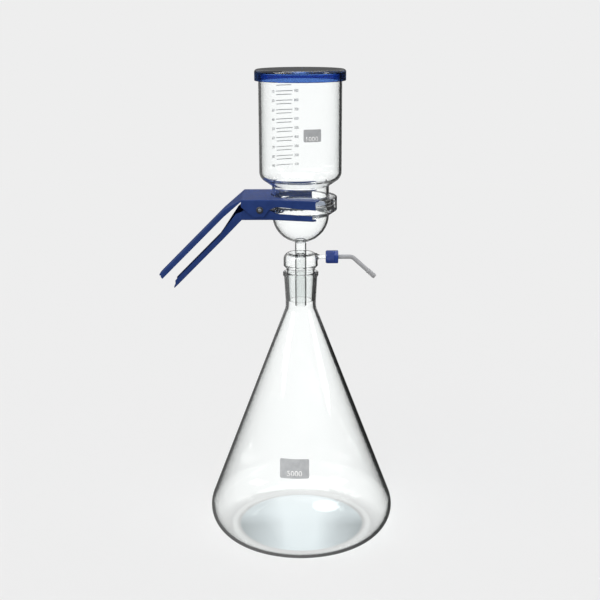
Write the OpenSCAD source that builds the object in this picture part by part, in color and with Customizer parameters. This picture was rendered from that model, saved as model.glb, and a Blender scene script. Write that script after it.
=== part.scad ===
// Vacuum filtration unit: a graduated cup clamped onto a fritted base that stands in a conical flask.
// All lengths are millimetres and all angles are degrees. The origin is on the flask's axis at the
// bench, +Z is up, +X runs along the vacuum side arm and -X runs along the clamp's handles.

/* [Flask] */
// Outer diameter of the flask at its widest
flask_od = 230; // [190:1:280]
// Height of the flask from the bench to its rim
flask_h = 336; // [280:1:410]
// Outer radius of the rounded heel between the base and the cone
heel_r = 32; // [26:1:40]
// Wall thickness of the flask
flask_wall = 3.5; // [2.4:0.1:4]
// Height at which the cone's line would meet the neck, below the rim
cone_drop = 44.6; // [42:0.1:60]
// Outer radius of the blend between the cone and the neck
neck_blend_r = 15; // [8:1:20]
// Width of the flat ring that the flask stands on
foot_w = 4; // [3:0.5:10]
// Rise of the domed base inside the standing ring
punt_h = 6; // [3:0.5:9]

/* [Ground joint] */
// Large diameter of the ground joint, at the flask's rim
joint_d = 34.5; // [30:0.1:34.5]
// Length of the ground joint
joint_len = 35; // [28:1:38]
// Loss of diameter for each unit of length along the joint
joint_taper = 0.1; // [0.08:0.01:0.12]
// Wall thickness of the flask's neck around the socket
neck_wall = 3; // [2.4:0.1:3.6]
// Radial clearance between the two ground faces
joint_gap = 0.08; // [0.05:0.01:0.15]
// Wall thickness of the cone that sits in the socket
joint_wall = 2; // [1.6:0.1:2.4]
// Outward step of the bead on the flask's rim
rim_bead = 1.2; // [0.8:0.1:2]
// Height of the bead on the flask's rim
rim_bead_h = 5; // [4:0.5:7]

/* [Filter base] */
// Height from the flask's rim to the top of the ground cone
cone_over = 4; // [3:0.5:5]
// Height from the flask's rim to the chamber's full width
chamber_start = 8; // [7:0.5:9]
// Outer diameter of the vacuum chamber above the joint
chamber_od = 41.4; // [41:0.1:50]
// Height from the flask's rim to the top of the vacuum chamber
chamber_top = 23.5; // [22:0.5:32]
// Width of the rounding at the chamber's shoulder
shoulder_w = 6.3; // [5:0.1:7]
// Height of the rounding at the chamber's shoulder
shoulder_h = 8; // [6:0.5:9]
// Depth of the dish where the drip tube passes through the chamber's top
dish_h = 1.6; // [0.8:0.1:2]
// Wall thickness of the filter base
base_wall = 2.4; // [2:0.1:2.8]
// Outer diameter of the drip tube
drip_od = 13.7; // [12:0.1:15]
// Wall thickness of the drip tube
drip_wall = 1.5; // [1.2:0.1:1.8]
// Free length of drip tube between the chamber and the bulb
drip_gap = 13; // [10:0.5:18]
// Length of drip tube that reaches below the ground joint
drip_reach = 7; // [4:0.5:16]
// Outer radius of the blend between the drip tube and the bulb
bulb_blend = 2.5; // [1.5:0.1:3]
// Outer diameter of the bulb and of the cup's neck
bulb_od = 67.8; // [56:0.1:82]
// Height from the bulb's centre to the joint face of the flanges
face_rise = 14.8; // [13:0.1:18]

/* [Flanges] */
// Overhang of both flanges beyond the bulb and the neck
flange_lip = 9.5; // [8:0.1:11]
// Height of the base flange's side below the joint face
base_flange_side = 8.6; // [7:0.1:9.5]
// Height of the base flange's tapered underside
base_flange_taper = 5.3; // [4.5:0.1:5.8]
// Thickness of the cup's flange
cup_flange_h = 7.7; // [6:0.1:9]
// Rounding on the outer edges of the flanges
flange_round = 1.6; // [1:0.1:2.5]
// Gap between the two ground joint faces
face_gap = 0.05; // [0.02:0.01:0.1]

/* [Sintered disc] */
// Thickness of the sintered glass disc
disc_h = 4; // [3:0.1:6]
// Radial gap between the disc and the base it is fused into
disc_gap = 0.05; // [0.02:0.01:0.1]

/* [Cup] */
// Outer diameter of the cup
cup_od = 97.4; // [88:0.1:118]
// Height of the cup from the joint face to its rim
cup_h = 152; // [125:0.1:182]
// Wall thickness of the cup
cup_wall = 3; // [2:0.1:3.5]
// Height of the cup's neck above its flange
cup_neck_h = 12.4; // [12:0.1:18]
// Outer radius of the cup's lower corner
cup_corner_r = 12; // [8:1:16]
// Angle of the cup's shoulder above the horizontal
cup_shoulder_a = 35; // [25:1:45]

/* [Lid] */
// Radial gap between the lid's skirt and the cup
lid_gap = 0.5; // [0.3:0.1:0.8]
// Thickness of the lid's skirt
lid_skirt_t = 4; // [3:0.1:5]
// Thickness of the lid's top
lid_top_t = 3.2; // [2.4:0.1:4]
// Height of the lid over all
lid_h = 13; // [10:0.5:16]
// Rounding of the lid's top edge
lid_round = 3.2; // [1.5:0.1:3.5]
// Chamfer on the skirt's lower edge
lid_chamfer = 0.6; // [0.4:0.1:1]
// Gap between the cup's rim and the lid that rests on it
rest_gap = 0.1; // [0.05:0.01:0.2]

/* [Clamp jaws] */
// Thickness of the clamp's sheet
sheet_t = 1.5; // [1.2:0.1:1.8]
// Gap between a jaw and the flange face it presses on
jaw_gap = 0.15; // [0.1:0.01:0.3]
// Side clearance between the two jaws' cheeks
cheek_gap = 0.25; // [0.2:0.05:0.4]
// How far the upper jaw's cheeks stand inside the flange radius
cheek_inset = 3.9; // [3:0.1:5]
// Distance of the clamp's pin beyond the flange
pin_offset = 3.9; // [3.7:0.1:8]
// Distance from the pin to the bend where the handles leave the body
body_back = 21.2; // [19:0.1:26]
// Distance from the pin to the place where the arms start to spread
arm_start = 13.5; // [12:0.1:16]
// Distance that the side flanges of the upper arms reach past the cup's axis
upper_reach = 17.5; // [14:0.1:20]
// Distance that the side flanges of the lower arms reach past the cup's axis
lower_reach = 13.5; // [11:0.1:17]
// Distance that the plates' tips reach past the side flanges
tip_reach = 4.5; // [3:0.1:6]
// Clearance between the lower jaw's arms and the flange they pass
arm_gap = 0.3; // [0.2:0.1:0.6]
// Width of each tip's blunt end
tip_w = 3; // [1:0.1:4]
// Widening of each side of the upper mouth between the cup's axis and the tips
upper_spread = 3; // [0:0.1:4]
// Widening of each side of the lower mouth between the cup's axis and the tips
lower_spread = 6; // [0:0.1:7]
// Clearance between the upper jaw's mouth and the cup's neck
upper_mouth_gap = 1.1; // [1:0.1:2]
// Clearance between the lower jaw's mouth and the bulb
lower_mouth_gap = 2.8; // [2.2:0.1:4.5]
// Depth of the upper arms' side flanges at their root
upper_side_root = 8.2; // [7:0.1:9]
// Depth of the upper arms' side flanges at their tips
upper_side_tip = 10.8; // [8:0.1:11]
// Depth of the lower arms' side flanges at their root
lower_side_root = 7.6; // [6:0.1:8]
// Depth of the lower arms' side flanges at their tips
lower_side_tip = 6.4; // [5:0.1:8]
// Distance from the pin to the root of the arms' side flanges
side_start = 19.1; // [17:0.1:20]
// Height of the lobed cheeks beyond the pin's centre line
lobe_h = 8.3; // [6:0.1:8.6]
// Distance behind the pin where the lobe starts, on the pin's centre line
lobe_back = 17.2; // [16:0.1:18]
// Distance in front of the pin where the lobe ends, on the pin's centre line
lobe_front = 10.4; // [9:0.1:12]
// Distance behind the pin where the lobe's flat edge starts
lobe_flat_back = 7.6; // [6:0.1:9]
// Distance in front of the pin where the lobe's flat edge ends
lobe_flat_front = 4.5; // [3:0.1:6]

/* [Clamp handles] */
// Width of the upper handle
handle_w = 24; // [20:0.5:30]
// Depth of the handles' channel section, square to the handle
handle_depth = 6; // [5:0.1:7]
// Horizontal run of the upper handle's first, flatter bend
upper_knee_run = 22.5; // [18:0.5:26]
// Drop of the upper handle over that first bend
upper_knee_drop = 16.3; // [14:0.1:20]
// Horizontal run of the lower handle's first bend
lower_knee_run = 23.8; // [18:0.5:26]
// Drop of the lower handle over that first bend
lower_knee_drop = 28.1; // [22:0.1:29]
// Horizontal run of the upper handle's straight part, which falls as far as it runs
handle_run = 80; // [60:1:100]
// Rounding of the handles' ends, seen from above
handle_end_r = 6; // [3:0.5:8]

/* [Pin and spring] */
// Diameter of the pin
pin_d = 4; // [3:0.1:5]
// Radial running clearance between the pin and the cheeks
pin_gap = 0.05; // [0.02:0.01:0.1]
// Diameter of the push-on retainers
retainer_d = 8; // [7:0.1:10]
// Thickness of the push-on retainers
retainer_t = 1.1; // [0.8:0.1:1.5]
// Thickness left at a retainer's edge
retainer_edge = 0.4; // [0.3:0.1:0.6]
// Width of a retainer's flat hub around the pin
retainer_hub = 0.8; // [0.5:0.1:1.2]
// Gap between each retainer and the cheek beside it, and around the pin inside it
retainer_gap = 0.05; // [0.02:0.01:0.1]
// Chamfer on the pin's ends
pin_chamfer = 0.4; // [0.2:0.1:0.6]
// Length of pin that shows beyond each retainer
pin_proud = 0.7; // [0.4:0.1:1.2]
// Diameter of the spring's wire
wire_d = 1.3; // [1:0.1:1.5]
// Mean radius of the spring's coils
coil_r = 3.1; // [3.1:0.1:3.2]
// Full turns in each coil
coil_turns = 5; // [3:1:6]
// Gap between neighbouring turns
coil_gap = 0.15; // [0.1:0.01:0.25]
// Distance from the clamp's middle plane to each coil
coil_start = 17; // [15:0.5:20]
// Horizontal reach of the spring's legs behind the pin
leg_reach = 16; // [12:0.5:17]
// Gap between the spring's legs and the plates they press on
leg_gap = 0.1; // [0.05:0.01:0.2]

/* [Side arm] */
// Outer diameter of the glass side arm
arm_od = 5.8; // [5:0.1:7]
// Bore of the glass side arm
arm_bore = 3.4; // [2.6:0.1:3.8]
// Depth of the side arm's centre line below the top of the chamber
arm_drop = 5.4; // [4.4:0.1:7]
// Free length of side arm between the chamber and the screw cap
arm_len = 9.6; // [8:0.1:16]
// Spread of the side arm where it leaves the chamber
root_spread = 1.8; // [1:0.1:2]
// Length of the flare at the side arm's root
root_len = 4.7; // [3:0.1:6]
// Outer diameter of the side arm's threaded end
thread_od = 11; // [10:0.1:12]
// Bore of the side arm's threaded end
thread_bore = 5.2; // [4.8:0.1:6]
// Length of the conical step from the side arm to its threaded end
step_len = 2.6; // [2:0.1:4]
// Length of the threaded end over all, with its step
thread_len = 10.6; // [9:0.1:13]
// Depth of the step inside the screw cap's open end
step_inset = 0.4; // [0.2:0.1:0.8]

/* [Screw cap, seal and nozzle] */
// Outer diameter of the screw cap
cap_od = 15.8; // [14.5:0.1:18]
// Radial clearance between the cap and the threaded end
cap_gap = 0.3; // [0.2:0.05:0.4]
// Thickness of the screw cap's end
cap_end_t = 1.3; // [1:0.1:2]
// Chamfer on the screw cap's edges
cap_chamfer = 0.7; // [0.4:0.1:1]
// Thickness of the seal ring
seal_t = 1.4; // [1:0.1:1.8]
// Gap on each side of the clamped pieces inside the cap
stack_gap = 0.1; // [0.05:0.01:0.15]
// Radial clearance of the seal ring inside the screw cap
seal_gap = 0.4; // [0.2:0.1:0.6]
// Outer diameter of the hose nozzle's tube
nozzle_od = 5.2; // [4.8:0.1:5.6]
// Bore of the hose nozzle
nozzle_bore = 3; // [2.4:0.1:3.2]
// Diameter of the spigot that enters the side arm
spigot_d = 4.4; // [4:0.1:4.6]
// Length of the spigot inside the side arm
spigot_len = 4; // [3:0.1:5]
// Chamfer on the spigot's end
spigot_chamfer = 0.4; // [0.2:0.1:0.6]
// Thickness of the nozzle's collar
collar_t = 1; // [0.8:0.1:1.2]
// Radial clearance of the nozzle's collar inside the screw cap
collar_gap = 0.9; // [0.5:0.1:1.2]
// Radial clearance around the nozzle in the cap's end and of the spigot in the seal
nozzle_gap = 0.2; // [0.1:0.05:0.3]
// Straight length of nozzle outside the screw cap
nozzle_run = 14; // [10:0.5:20]
// Angle by which the nozzle bends down
nozzle_bend = 42; // [30:1:90]
// Radius of the nozzle's bend along its centre line
nozzle_bend_r = 8; // [5:0.5:12]
// Straight length of nozzle after the bend, up to the barbs
nozzle_leg = 22; // [16:0.5:30]
// Length of each barb
barb_len = 4; // [3:0.5:5]
// Height of each barb above the tube
barb_h = 0.6; // [0.3:0.1:0.8]
// Length of each barb's steep side
barb_back = 0.2; // [0.1:0.1:0.5]
// Number of barbs
barbs = 3; // [2:1:4]

/* [Hidden] */
$fn = 96;

eps = 1;                // overrun of cutting bodies past the faces they open
bend_step = 0.03;       // the nozzle's bend is this much smaller in radius than its straight tubes
bend_over = 3;          // degrees by which the nozzle's bend runs on inside its straight tubes
arc_steps = 12;         // straight pieces in each arc of a turned outline
edge_steps = 6;         // straight pieces in each small rounding

// Flask: the cone is the line that touches the heel's arc and passes through the cone's top corner.
flask_r = flask_od / 2;
socket_z = flask_h - joint_len;
socket_top_r = joint_d / 2;
socket_low_r = socket_top_r - joint_len * joint_taper / 2;
neck_r = socket_low_r + neck_wall;
heel_c = [flask_r - heel_r, heel_r];
cone_top = [neck_r, flask_h - cone_drop];
cone_v = cone_top - heel_c;
cone_a = atan2(cone_v[1], cone_v[0]) - acos(heel_r / norm(cone_v));
neck_blend_c = [neck_r + neck_blend_r,
    heel_c[1] + (heel_r + neck_blend_r - (neck_r + neck_blend_r - heel_c[0]) * cos(cone_a)) / sin(cone_a)];
foot_in_r = heel_c[0] - foot_w;
bead_z = flask_h - rim_bead_h;
rim_r = socket_top_r + neck_wall;

// Filter base
chamber_r = chamber_od / 2;
chamber_z = flask_h + chamber_top;
chamber_low_z = flask_h + chamber_start;
cone_top_z = flask_h + cone_over;
cone_r_at_rim = socket_top_r - joint_gap;
cone_low_r = socket_low_r - joint_gap;
drip_r = drip_od / 2;
drip_in_r = drip_r - drip_wall;
drip_low_z = socket_z - drip_reach;
bulb_r = bulb_od / 2;
bulb_in_r = bulb_r - base_wall;
bulb_low_z = chamber_z + drip_gap;
bulb_z = bulb_low_z + bulb_r;
bulb_blend_a = acos((drip_r + bulb_blend) / (bulb_r + bulb_blend));
bulb_blend_c = [drip_r + bulb_blend, bulb_z - (bulb_r + bulb_blend) * sin(bulb_blend_a)];
face_z = bulb_z + face_rise;
flange_r = bulb_r + flange_lip;
taper_top_z = face_z - base_flange_side;
taper_low_z = taper_top_z - base_flange_taper;
taper_in_r = bulb_r + flange_round;
taper_a = atan2(base_flange_taper, flange_r - taper_in_r);
taper_round_z = taper_low_z + (flange_r - flange_round - taper_in_r) * tan(taper_a)
    + flange_round / cos(taper_a);

// Cup
cup_r = cup_od / 2;
cup_low_z = face_z + face_gap;
cup_flange_z = face_z + cup_flange_h;
cup_neck_z = cup_flange_z + cup_neck_h;
cup_rim_z = face_z + cup_h;
corner_turn = 90 - cup_shoulder_a;
corner_end_r = cup_r - cup_corner_r * (1 - cos(corner_turn));
cup_corner_z = cup_neck_z + (corner_end_r - bulb_r) * tan(cup_shoulder_a) + cup_corner_r * sin(corner_turn);

// Lid
lid_in_r = cup_r + lid_gap;
lid_r = lid_in_r + lid_skirt_t;
lid_in_z = cup_rim_z + rest_gap;
lid_top_z = lid_in_z + lid_top_t;
lid_low_z = lid_top_z - lid_h;

// Clamp: every place is measured from the flanges or from the pin
pin_r = pin_d / 2;
pin_x = -(flange_r + pin_offset);
upper_low_z = cup_flange_z + jaw_gap;
upper_top_z = upper_low_z + sheet_t;
upper_mouth_r = bulb_r + upper_mouth_gap;
lower_mouth_r = bulb_r + lower_mouth_gap;
lower_top_z = taper_low_z + (lower_mouth_r - taper_in_r) * tan(taper_a) - jaw_gap;
lower_low_z = lower_top_z - sheet_t;
pin_z = (upper_low_z + lower_top_z) / 2;
upper_body_hw = flange_r - cheek_inset;
lower_body_hw = upper_body_hw - sheet_t - cheek_gap;
upper_handle_hw = handle_w / 2;
lower_handle_hw = upper_handle_hw - sheet_t - cheek_gap;
body_x = pin_x - body_back;
arm_x = pin_x + arm_start;
// The lower jaw's arms run past the flange on a line that touches a circle of radius arm_pass_r
arm_pass_r = flange_r + arm_gap;
arm_p = [arm_x, lower_body_hw - sheet_t];
arm_a = atan2(arm_p[1], arm_p[0]) - acos(arm_pass_r / norm(arm_p));
arm_tip_hw = arm_hw(upper_reach);
handle_a = 45;          // slope of the handles' straight parts, which fall as far as they run
// The lower handle ends level with the upper one, square to both
lower_handle_run = handle_run + ((lower_low_z - lower_knee_run - lower_knee_drop)
    - (upper_top_z - upper_knee_run - upper_knee_drop)) / 2;
// Free edge of a cheek at the pin, as points [along X, away from the plate] from the pin
lobe = [[-lobe_back, 0], [-lobe_flat_back, lobe_h], [lobe_flat_front, lobe_h], [lobe_front, 0]];
// Free edge between each handle and its cheek, as points [along X, up] from the plate at the body's end
upper_cheek = [[-0.7, -2.6], [-0.5, -8.7]];
lower_cheek = [[-7, 5.8]];

// Pin, retainers and spring
retainer_y = upper_body_hw + retainer_gap;
pin_half = retainer_y + retainer_t + pin_proud;
wire_r = wire_d / 2;
coil_pitch = wire_d + coil_gap;
coil_end = coil_start + coil_turns * coil_pitch;
leg_up = [-leg_reach, upper_low_z - pin_z - wire_r - leg_gap];
leg_down = [-leg_reach, lower_top_z - pin_z + wire_r + leg_gap];
turn_up = atan2(leg_up[1], leg_up[0]) - acos(coil_r / norm(leg_up));
turn_down = atan2(leg_down[1], leg_down[0]) + acos(coil_r / norm(leg_down));
turn_steps = 14;        // straight pieces in each turn of a coil
coil_steps = turn_steps * coil_turns;
wire_corner = 1;        // cut across each corner of the bridge between the coils

// Side arm, cap and nozzle, all on one line along +X
arm_z = chamber_z - arm_drop;
arm_r = arm_od / 2;
cap_x = chamber_r + arm_len;
thread_x = cap_x + step_inset;
thread_r = thread_od / 2;
thread_end_x = thread_x + thread_len;
seal_x = thread_end_x + stack_gap;
collar_x = seal_x + seal_t + stack_gap;
cap_r = cap_od / 2;
cap_in_r = thread_r + cap_gap;
cap_floor_x = collar_x + collar_t + stack_gap;
cap_end_x = cap_floor_x + cap_end_t;
nozzle_r = nozzle_od / 2;
collar_r = cap_in_r - collar_gap;
seal_r = cap_in_r - seal_gap;
spigot_r = spigot_d / 2;
spigot_x = seal_x - spigot_len;
bore_r = nozzle_bore / 2;
barbs_z = nozzle_leg + barbs * barb_len;
bend_x = cap_end_x + nozzle_run;

// Half width of the lower jaw over its arms, at a distance x along them
function arm_hw(x) = (arm_pass_r - x * cos(arm_a)) / sin(arm_a) + sheet_t;
// Points along an arc from angle a0 to angle a1 about c
function arc(c, r, a0, a1, n = arc_steps) =
    [for (i = [0:n]) let (a = a0 + (a1 - a0) * i / n) [c[0] + r * cos(a), c[1] + r * sin(a)]];
// Points along a quarter of an ellipse with half axes rx and ry
function oval(c, rx, ry, a0, a1, n = arc_steps) =
    [for (i = [0:n]) let (a = a0 + (a1 - a0) * i / n) [c[0] + rx * cos(a), c[1] + ry * sin(a)]];
// The same points in the opposite order
function back(p) = [for (i = [len(p) - 1:-1:0]) p[i]];
// The flask's side from heel to neck, moved inwards by w
function flask_side(w) = concat(
    arc(heel_c, heel_r - w, -90, cone_a),
    arc(neck_blend_c, neck_blend_r + w, 180 + cone_a, 180));
// The domed base from its middle to the standing ring, raised by w
function punt(w) = [for (i = [0:arc_steps]) let (u = i / arc_steps)
    [foot_in_r * u, w + punt_h * (1 - u * u)]];

// ---------------------------------------------------------------- glassware

module flask() {
    color([0.86, 0.93, 0.95, 0.35])
    rotate_extrude()
    polygon(concat(
        punt(0),
        flask_side(0),
        [[neck_r, socket_z], [rim_r, bead_z], [rim_r + rim_bead, bead_z + rim_bead],
         [rim_r + rim_bead, flask_h - rim_bead], [rim_r, flask_h], [socket_top_r, flask_h],
         [socket_low_r, socket_z]],
        back(flask_side(flask_wall)),
        back(punt(flask_wall))));
}

module base_outside() {
    rotate_extrude()
    polygon(concat(
        [[0, drip_low_z], [drip_r, drip_low_z], [drip_r, socket_z], [cone_low_r, socket_z],
         [cone_r_at_rim, flask_h], [cone_r_at_rim, cone_top_z], [chamber_r, chamber_low_z]],
        oval([chamber_r - shoulder_w, chamber_z - shoulder_h], shoulder_w, shoulder_h, 0, 90),
        [[drip_r, chamber_z - dish_h]],
        arc(bulb_blend_c, bulb_blend, 180, 180 - bulb_blend_a, edge_steps),
        arc([0, bulb_z], bulb_r, -bulb_blend_a, 0),
        [[bulb_r, taper_low_z], [taper_in_r, taper_low_z]],
        arc([flange_r - flange_round, taper_round_z], flange_round, taper_a - 90, 0, edge_steps),
        arc([flange_r - flange_round / 2, face_z - flange_round / 2], flange_round / 2, 0, 90, edge_steps),
        [[0, face_z]]));
}

module base_hollows() {
    // Bulb and drip tube, open at both ends
    rotate_extrude()
    polygon(concat(
        [[0, drip_low_z - eps], [drip_in_r, drip_low_z - eps]],
        arc([0, bulb_z], bulb_in_r, -acos(drip_in_r / bulb_in_r), 0),
        [[bulb_in_r, face_z + eps], [0, face_z + eps]]));
    // Vacuum chamber around the drip tube, open towards the flask
    rotate_extrude()
    polygon(concat(
        [[drip_r, socket_z - eps], [cone_low_r - joint_wall, socket_z - eps],
         [cone_low_r - joint_wall, socket_z], [cone_r_at_rim - joint_wall, flask_h],
         [cone_r_at_rim - joint_wall, cone_top_z + joint_wall / 2],
         [chamber_r - base_wall, chamber_low_z + joint_wall / 2]],
        oval([chamber_r - shoulder_w, chamber_z - shoulder_h],
            shoulder_w - base_wall, shoulder_h - base_wall, 0, 90),
        [[drip_r, chamber_z - dish_h - base_wall]]));
}

// Turns an outline of [distance along +X, radius] points about the side arm's line
module turned_on_arm(points) {
    translate([0, 0, arm_z])
    rotate([0, 90, 0])
    rotate_extrude()
    polygon([for (p = points) [p[1], p[0]]]);
}

module filter_base() {
    root_x = chamber_r - base_wall / 2;
    root_r = arm_r + root_spread;
    color([0.86, 0.93, 0.95, 0.35])
    difference() {
        union() {
            base_outside();
            difference() {
                turned_on_arm(concat(
                    [[chamber_r - shoulder_w, 0], [chamber_r - shoulder_w, root_r]],
                    oval([root_x + root_len, root_r], root_len, root_spread, 180, 270, edge_steps),
                    [[thread_x, arm_r], [thread_x + step_len, thread_r],
                     [thread_end_x, thread_r], [thread_end_x, 0]]));
                // The arm starts at the chamber's wall and leaves its inside free
                translate([0, 0, chamber_low_z])
                cylinder(h = chamber_z - chamber_low_z + eps, r = chamber_r - base_wall);
            }
        }
        base_hollows();
        turned_on_arm([[chamber_r - shoulder_w, 0], [chamber_r - shoulder_w, arm_bore / 2],
            [thread_x + step_len / 2, arm_bore / 2], [thread_x + step_len, thread_bore / 2],
            [thread_end_x + eps, thread_bore / 2], [thread_end_x + eps, 0]]);
    }
}

module sintered_disc() {
    color([0.94, 0.94, 0.92])
    translate([0, 0, face_z - disc_h])
    cylinder(h = disc_h, r = bulb_in_r - disc_gap);
}

module cup() {
    color([0.86, 0.93, 0.95, 0.35])
    rotate_extrude()
    polygon(concat(
        [[bulb_r - cup_wall, cup_low_z]],
        arc([flange_r - flange_round / 2, cup_low_z + flange_round / 2],
            flange_round / 2, -90, 0, edge_steps),
        arc([flange_r - flange_round, cup_flange_z - flange_round],
            flange_round, 0, 90, edge_steps),
        [[bulb_r, cup_flange_z], [bulb_r, cup_neck_z]],
        arc([cup_r - cup_corner_r, cup_corner_z], cup_corner_r, -corner_turn, 0),
        [[cup_r, cup_rim_z - cup_wall / 2]],
        arc([cup_r - cup_wall / 2, cup_rim_z - cup_wall / 2], cup_wall / 2, 0, 180, edge_steps),
        back(arc([cup_r - cup_corner_r, cup_corner_z], cup_corner_r - cup_wall, -corner_turn, 0)),
        [[bulb_r - cup_wall, cup_neck_z + cup_wall * tan(corner_turn / 2)]]));
}

// ---------------------------------------------------------------- lid

module lid() {
    color([0.05, 0.14, 0.5, 0.85])
    rotate_extrude()
    polygon(concat(
        [[0, lid_in_z], [lid_in_r, lid_in_z], [lid_in_r, lid_low_z], [lid_r - lid_chamfer, lid_low_z],
         [lid_r, lid_low_z + lid_chamfer]],
        arc([lid_r - lid_round, lid_top_z - lid_round], lid_round, 0, 90),
        [[0, lid_top_z]]));
}

// ---------------------------------------------------------------- clamp

// Where a bent sheet's far face turns, for an outer corner p whose two faces have the normals n1 and n2
function corner(p, n1, n2, t) = p + t / cos((n2 - n1) / 2) * [cos((n1 + n2) / 2), sin((n1 + n2) / 2)];
// Closes a half outline on the +Y side with its mirror image
function mirrored(half) = concat(half, [for (p = back(half)) [p[0], -p[1]]]);

// A jaw's plan outline, with its slanted arm tips and its rounded handle end
module jaw_plan(end_x, knee_x, handle_hw, body_hw, reach, tip_y) {
    tip_x = reach + tip_reach;
    polygon(mirrored(concat(
        arc([end_x + handle_end_r, handle_hw - handle_end_r], handle_end_r, 180, 90, 4),
        [[knee_x, handle_hw], [body_x, body_hw], [arm_x, body_hw], [reach, arm_hw(reach)],
         [tip_x, tip_y + tip_w], [tip_x, tip_y]])));
}

// The room between a jaw's two side flanges, open at the handle's end and past the flanges' tips
module room_plan(end_x, knee_x, handle_hw, body_hw, reach) {
    polygon(mirrored([[end_x - handle_hw, handle_hw - sheet_t], [knee_x, handle_hw - sheet_t],
        [body_x, body_hw - sheet_t], [arm_x, body_hw - sheet_t], [reach, arm_hw(reach) - sheet_t],
        [reach, arm_tip_hw + eps], [reach + tip_reach + 2 * eps, arm_tip_hw + eps]]));
}

// Draws a side outline of [x, z] points as a bar across the clamp
module across(points) {
    translate([0, 2 * arm_tip_hw, 0])
    rotate([90, 0, 0])
    linear_extrude(height = 4 * arm_tip_hw)
    polygon(points);
}

// Draws a plan outline as an upright block that is taller than the clamp
module upright() {
    translate([0, 0, pin_z - 2 * handle_run])
    linear_extrude(height = 4 * handle_run)
    children();
}

// One jaw, folded from one sheet: a plate with side flanges that turn into cheeks at the pin and run on
// along the handle. toward is -1 for the upper jaw and +1 for the lower one. cheek_back holds the free
// edge's points between the handle and the cheek, measured from the bend at the body's end.
module jaw(toward, plate_z, knee, run, handle_hw, body_hw, mouth_r, spread, reach, side_root,
        side_tip, cheek_back) {
    tip_x = reach + tip_reach;
    tip_y = mouth_r + spread;
    knee_a = atan2(knee[1], knee[0]);
    n0 = 90 * toward;
    n1 = n0 + knee_a;
    n2 = n0 + handle_a;
    body_p = [body_x, plate_z];
    knee_p = body_p - knee;
    end_p = knee_p - [run, run];
    square_in = [cos(n2), sin(n2)];
    beyond = end_p - [handle_hw, handle_hw];
    difference() {
        intersection() {
            across(concat(
                [[tip_x + eps, plate_z], body_p, knee_p, end_p, end_p + handle_depth * square_in,
                 corner(knee_p, n1, n2, handle_depth)],
                [for (p = cheek_back) body_p + p],
                [for (p = lobe) [pin_x + p[0], pin_z + toward * p[1]]],
                [[pin_x + side_start, plate_z + toward * side_root],
                 [reach, plate_z + toward * side_tip],
                 [tip_x + eps, plate_z + toward * side_tip]]));
            upright() jaw_plan(end_p[0], knee_p[0], handle_hw, body_hw, reach, tip_y);
        }
        intersection() {
            across([[tip_x + 2 * eps, plate_z + toward * sheet_t], corner(body_p, n0, n1, sheet_t),
                corner(knee_p, n1, n2, sheet_t), beyond + sheet_t * square_in,
                beyond + [0, toward * 2 * handle_run],
                [tip_x + 2 * eps, plate_z + toward * 2 * handle_run]]);
            upright() room_plan(end_p[0], knee_p[0], handle_hw, body_hw, reach);
        }
        // The mouth that takes the glass, half round and then wider towards the tips
        upright() {
            circle(r = mouth_r);
            polygon([[0, mouth_r], [tip_x + eps, tip_y], [tip_x + eps, -tip_y], [0, -mouth_r]]);
        }
        translate([pin_x, arm_tip_hw, pin_z])
        rotate([90, 0, 0])
        cylinder(h = 2 * arm_tip_hw, r = pin_r + pin_gap);
    }
}

module upper_jaw() {
    color([0.12, 0.19, 0.46])
    jaw(-1, upper_top_z, [upper_knee_run, upper_knee_drop], handle_run, upper_handle_hw, upper_body_hw,
        upper_mouth_r, upper_spread, upper_reach, upper_side_root, upper_side_tip, upper_cheek);
}

module lower_jaw() {
    color([0.12, 0.19, 0.46])
    jaw(1, lower_low_z, [lower_knee_run, lower_knee_drop], lower_handle_run, lower_handle_hw, lower_body_hw,
        lower_mouth_r, lower_spread, lower_reach, lower_side_root, lower_side_tip, lower_cheek);
}

module pivot_pin() {
    color("silver")
    translate([pin_x, pin_half, pin_z])
    rotate([90, 0, 0])
    rotate_extrude()
    polygon([[0, 0], [pin_r - pin_chamfer, 0], [pin_r, pin_chamfer],
        [pin_r, 2 * pin_half - pin_chamfer], [pin_r - pin_chamfer, 2 * pin_half], [0, 2 * pin_half]]);
}

// A push-on retainer, domed outwards. side is -1 in front and +1 behind.
module retainer(side) {
    color([0.06, 0.07, 0.08])
    translate([pin_x, side * retainer_y, pin_z])
    rotate([-90 * side, 0, 0])
    rotate_extrude()
    polygon([[pin_r + retainer_gap, 0], [retainer_d / 2, 0], [retainer_d / 2, retainer_edge],
        [pin_r + retainer_hub, retainer_t], [pin_r + retainer_gap, retainer_t]]);
}

module front_retainer() {
    retainer(-1);
}

module rear_retainer() {
    retainer(1);
}

// The spring's centre line: one leg, a coil, the bridge behind the pin, the other coil and its leg
function coil_points(side) = [for (i = [0:coil_steps]) let (
    a = turn_down + (turn_up - turn_down + 360 * coil_turns) * i / coil_steps)
    [coil_r * cos(a), side * (coil_start + (coil_end - coil_start) * i / coil_steps), coil_r * sin(a)]];
// One end of the bridge between the coils, which presses on the lower jaw
function bridge_end(side) = [[leg_down[0] + wire_corner, side * coil_start, leg_down[1]],
    [leg_down[0], side * (coil_start - wire_corner), leg_down[1]]];
spring_path = concat(
    [[leg_up[0], coil_end, leg_up[1]]],
    back(coil_points(1)),
    bridge_end(1),
    back(bridge_end(-1)),
    coil_points(-1),
    [[leg_up[0], -coil_end, leg_up[1]]]);

function unit(v) = v / norm(v);
// The part of v that is square to the direction d
function squared(v, d) = unit(v - (v * d) * d);
// Directions along a path, one for each point
function headings(p) = [for (i = [0:len(p) - 1])
    unit(p[min(i + 1, len(p) - 1)] - p[max(i - 1, 0)])];

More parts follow.
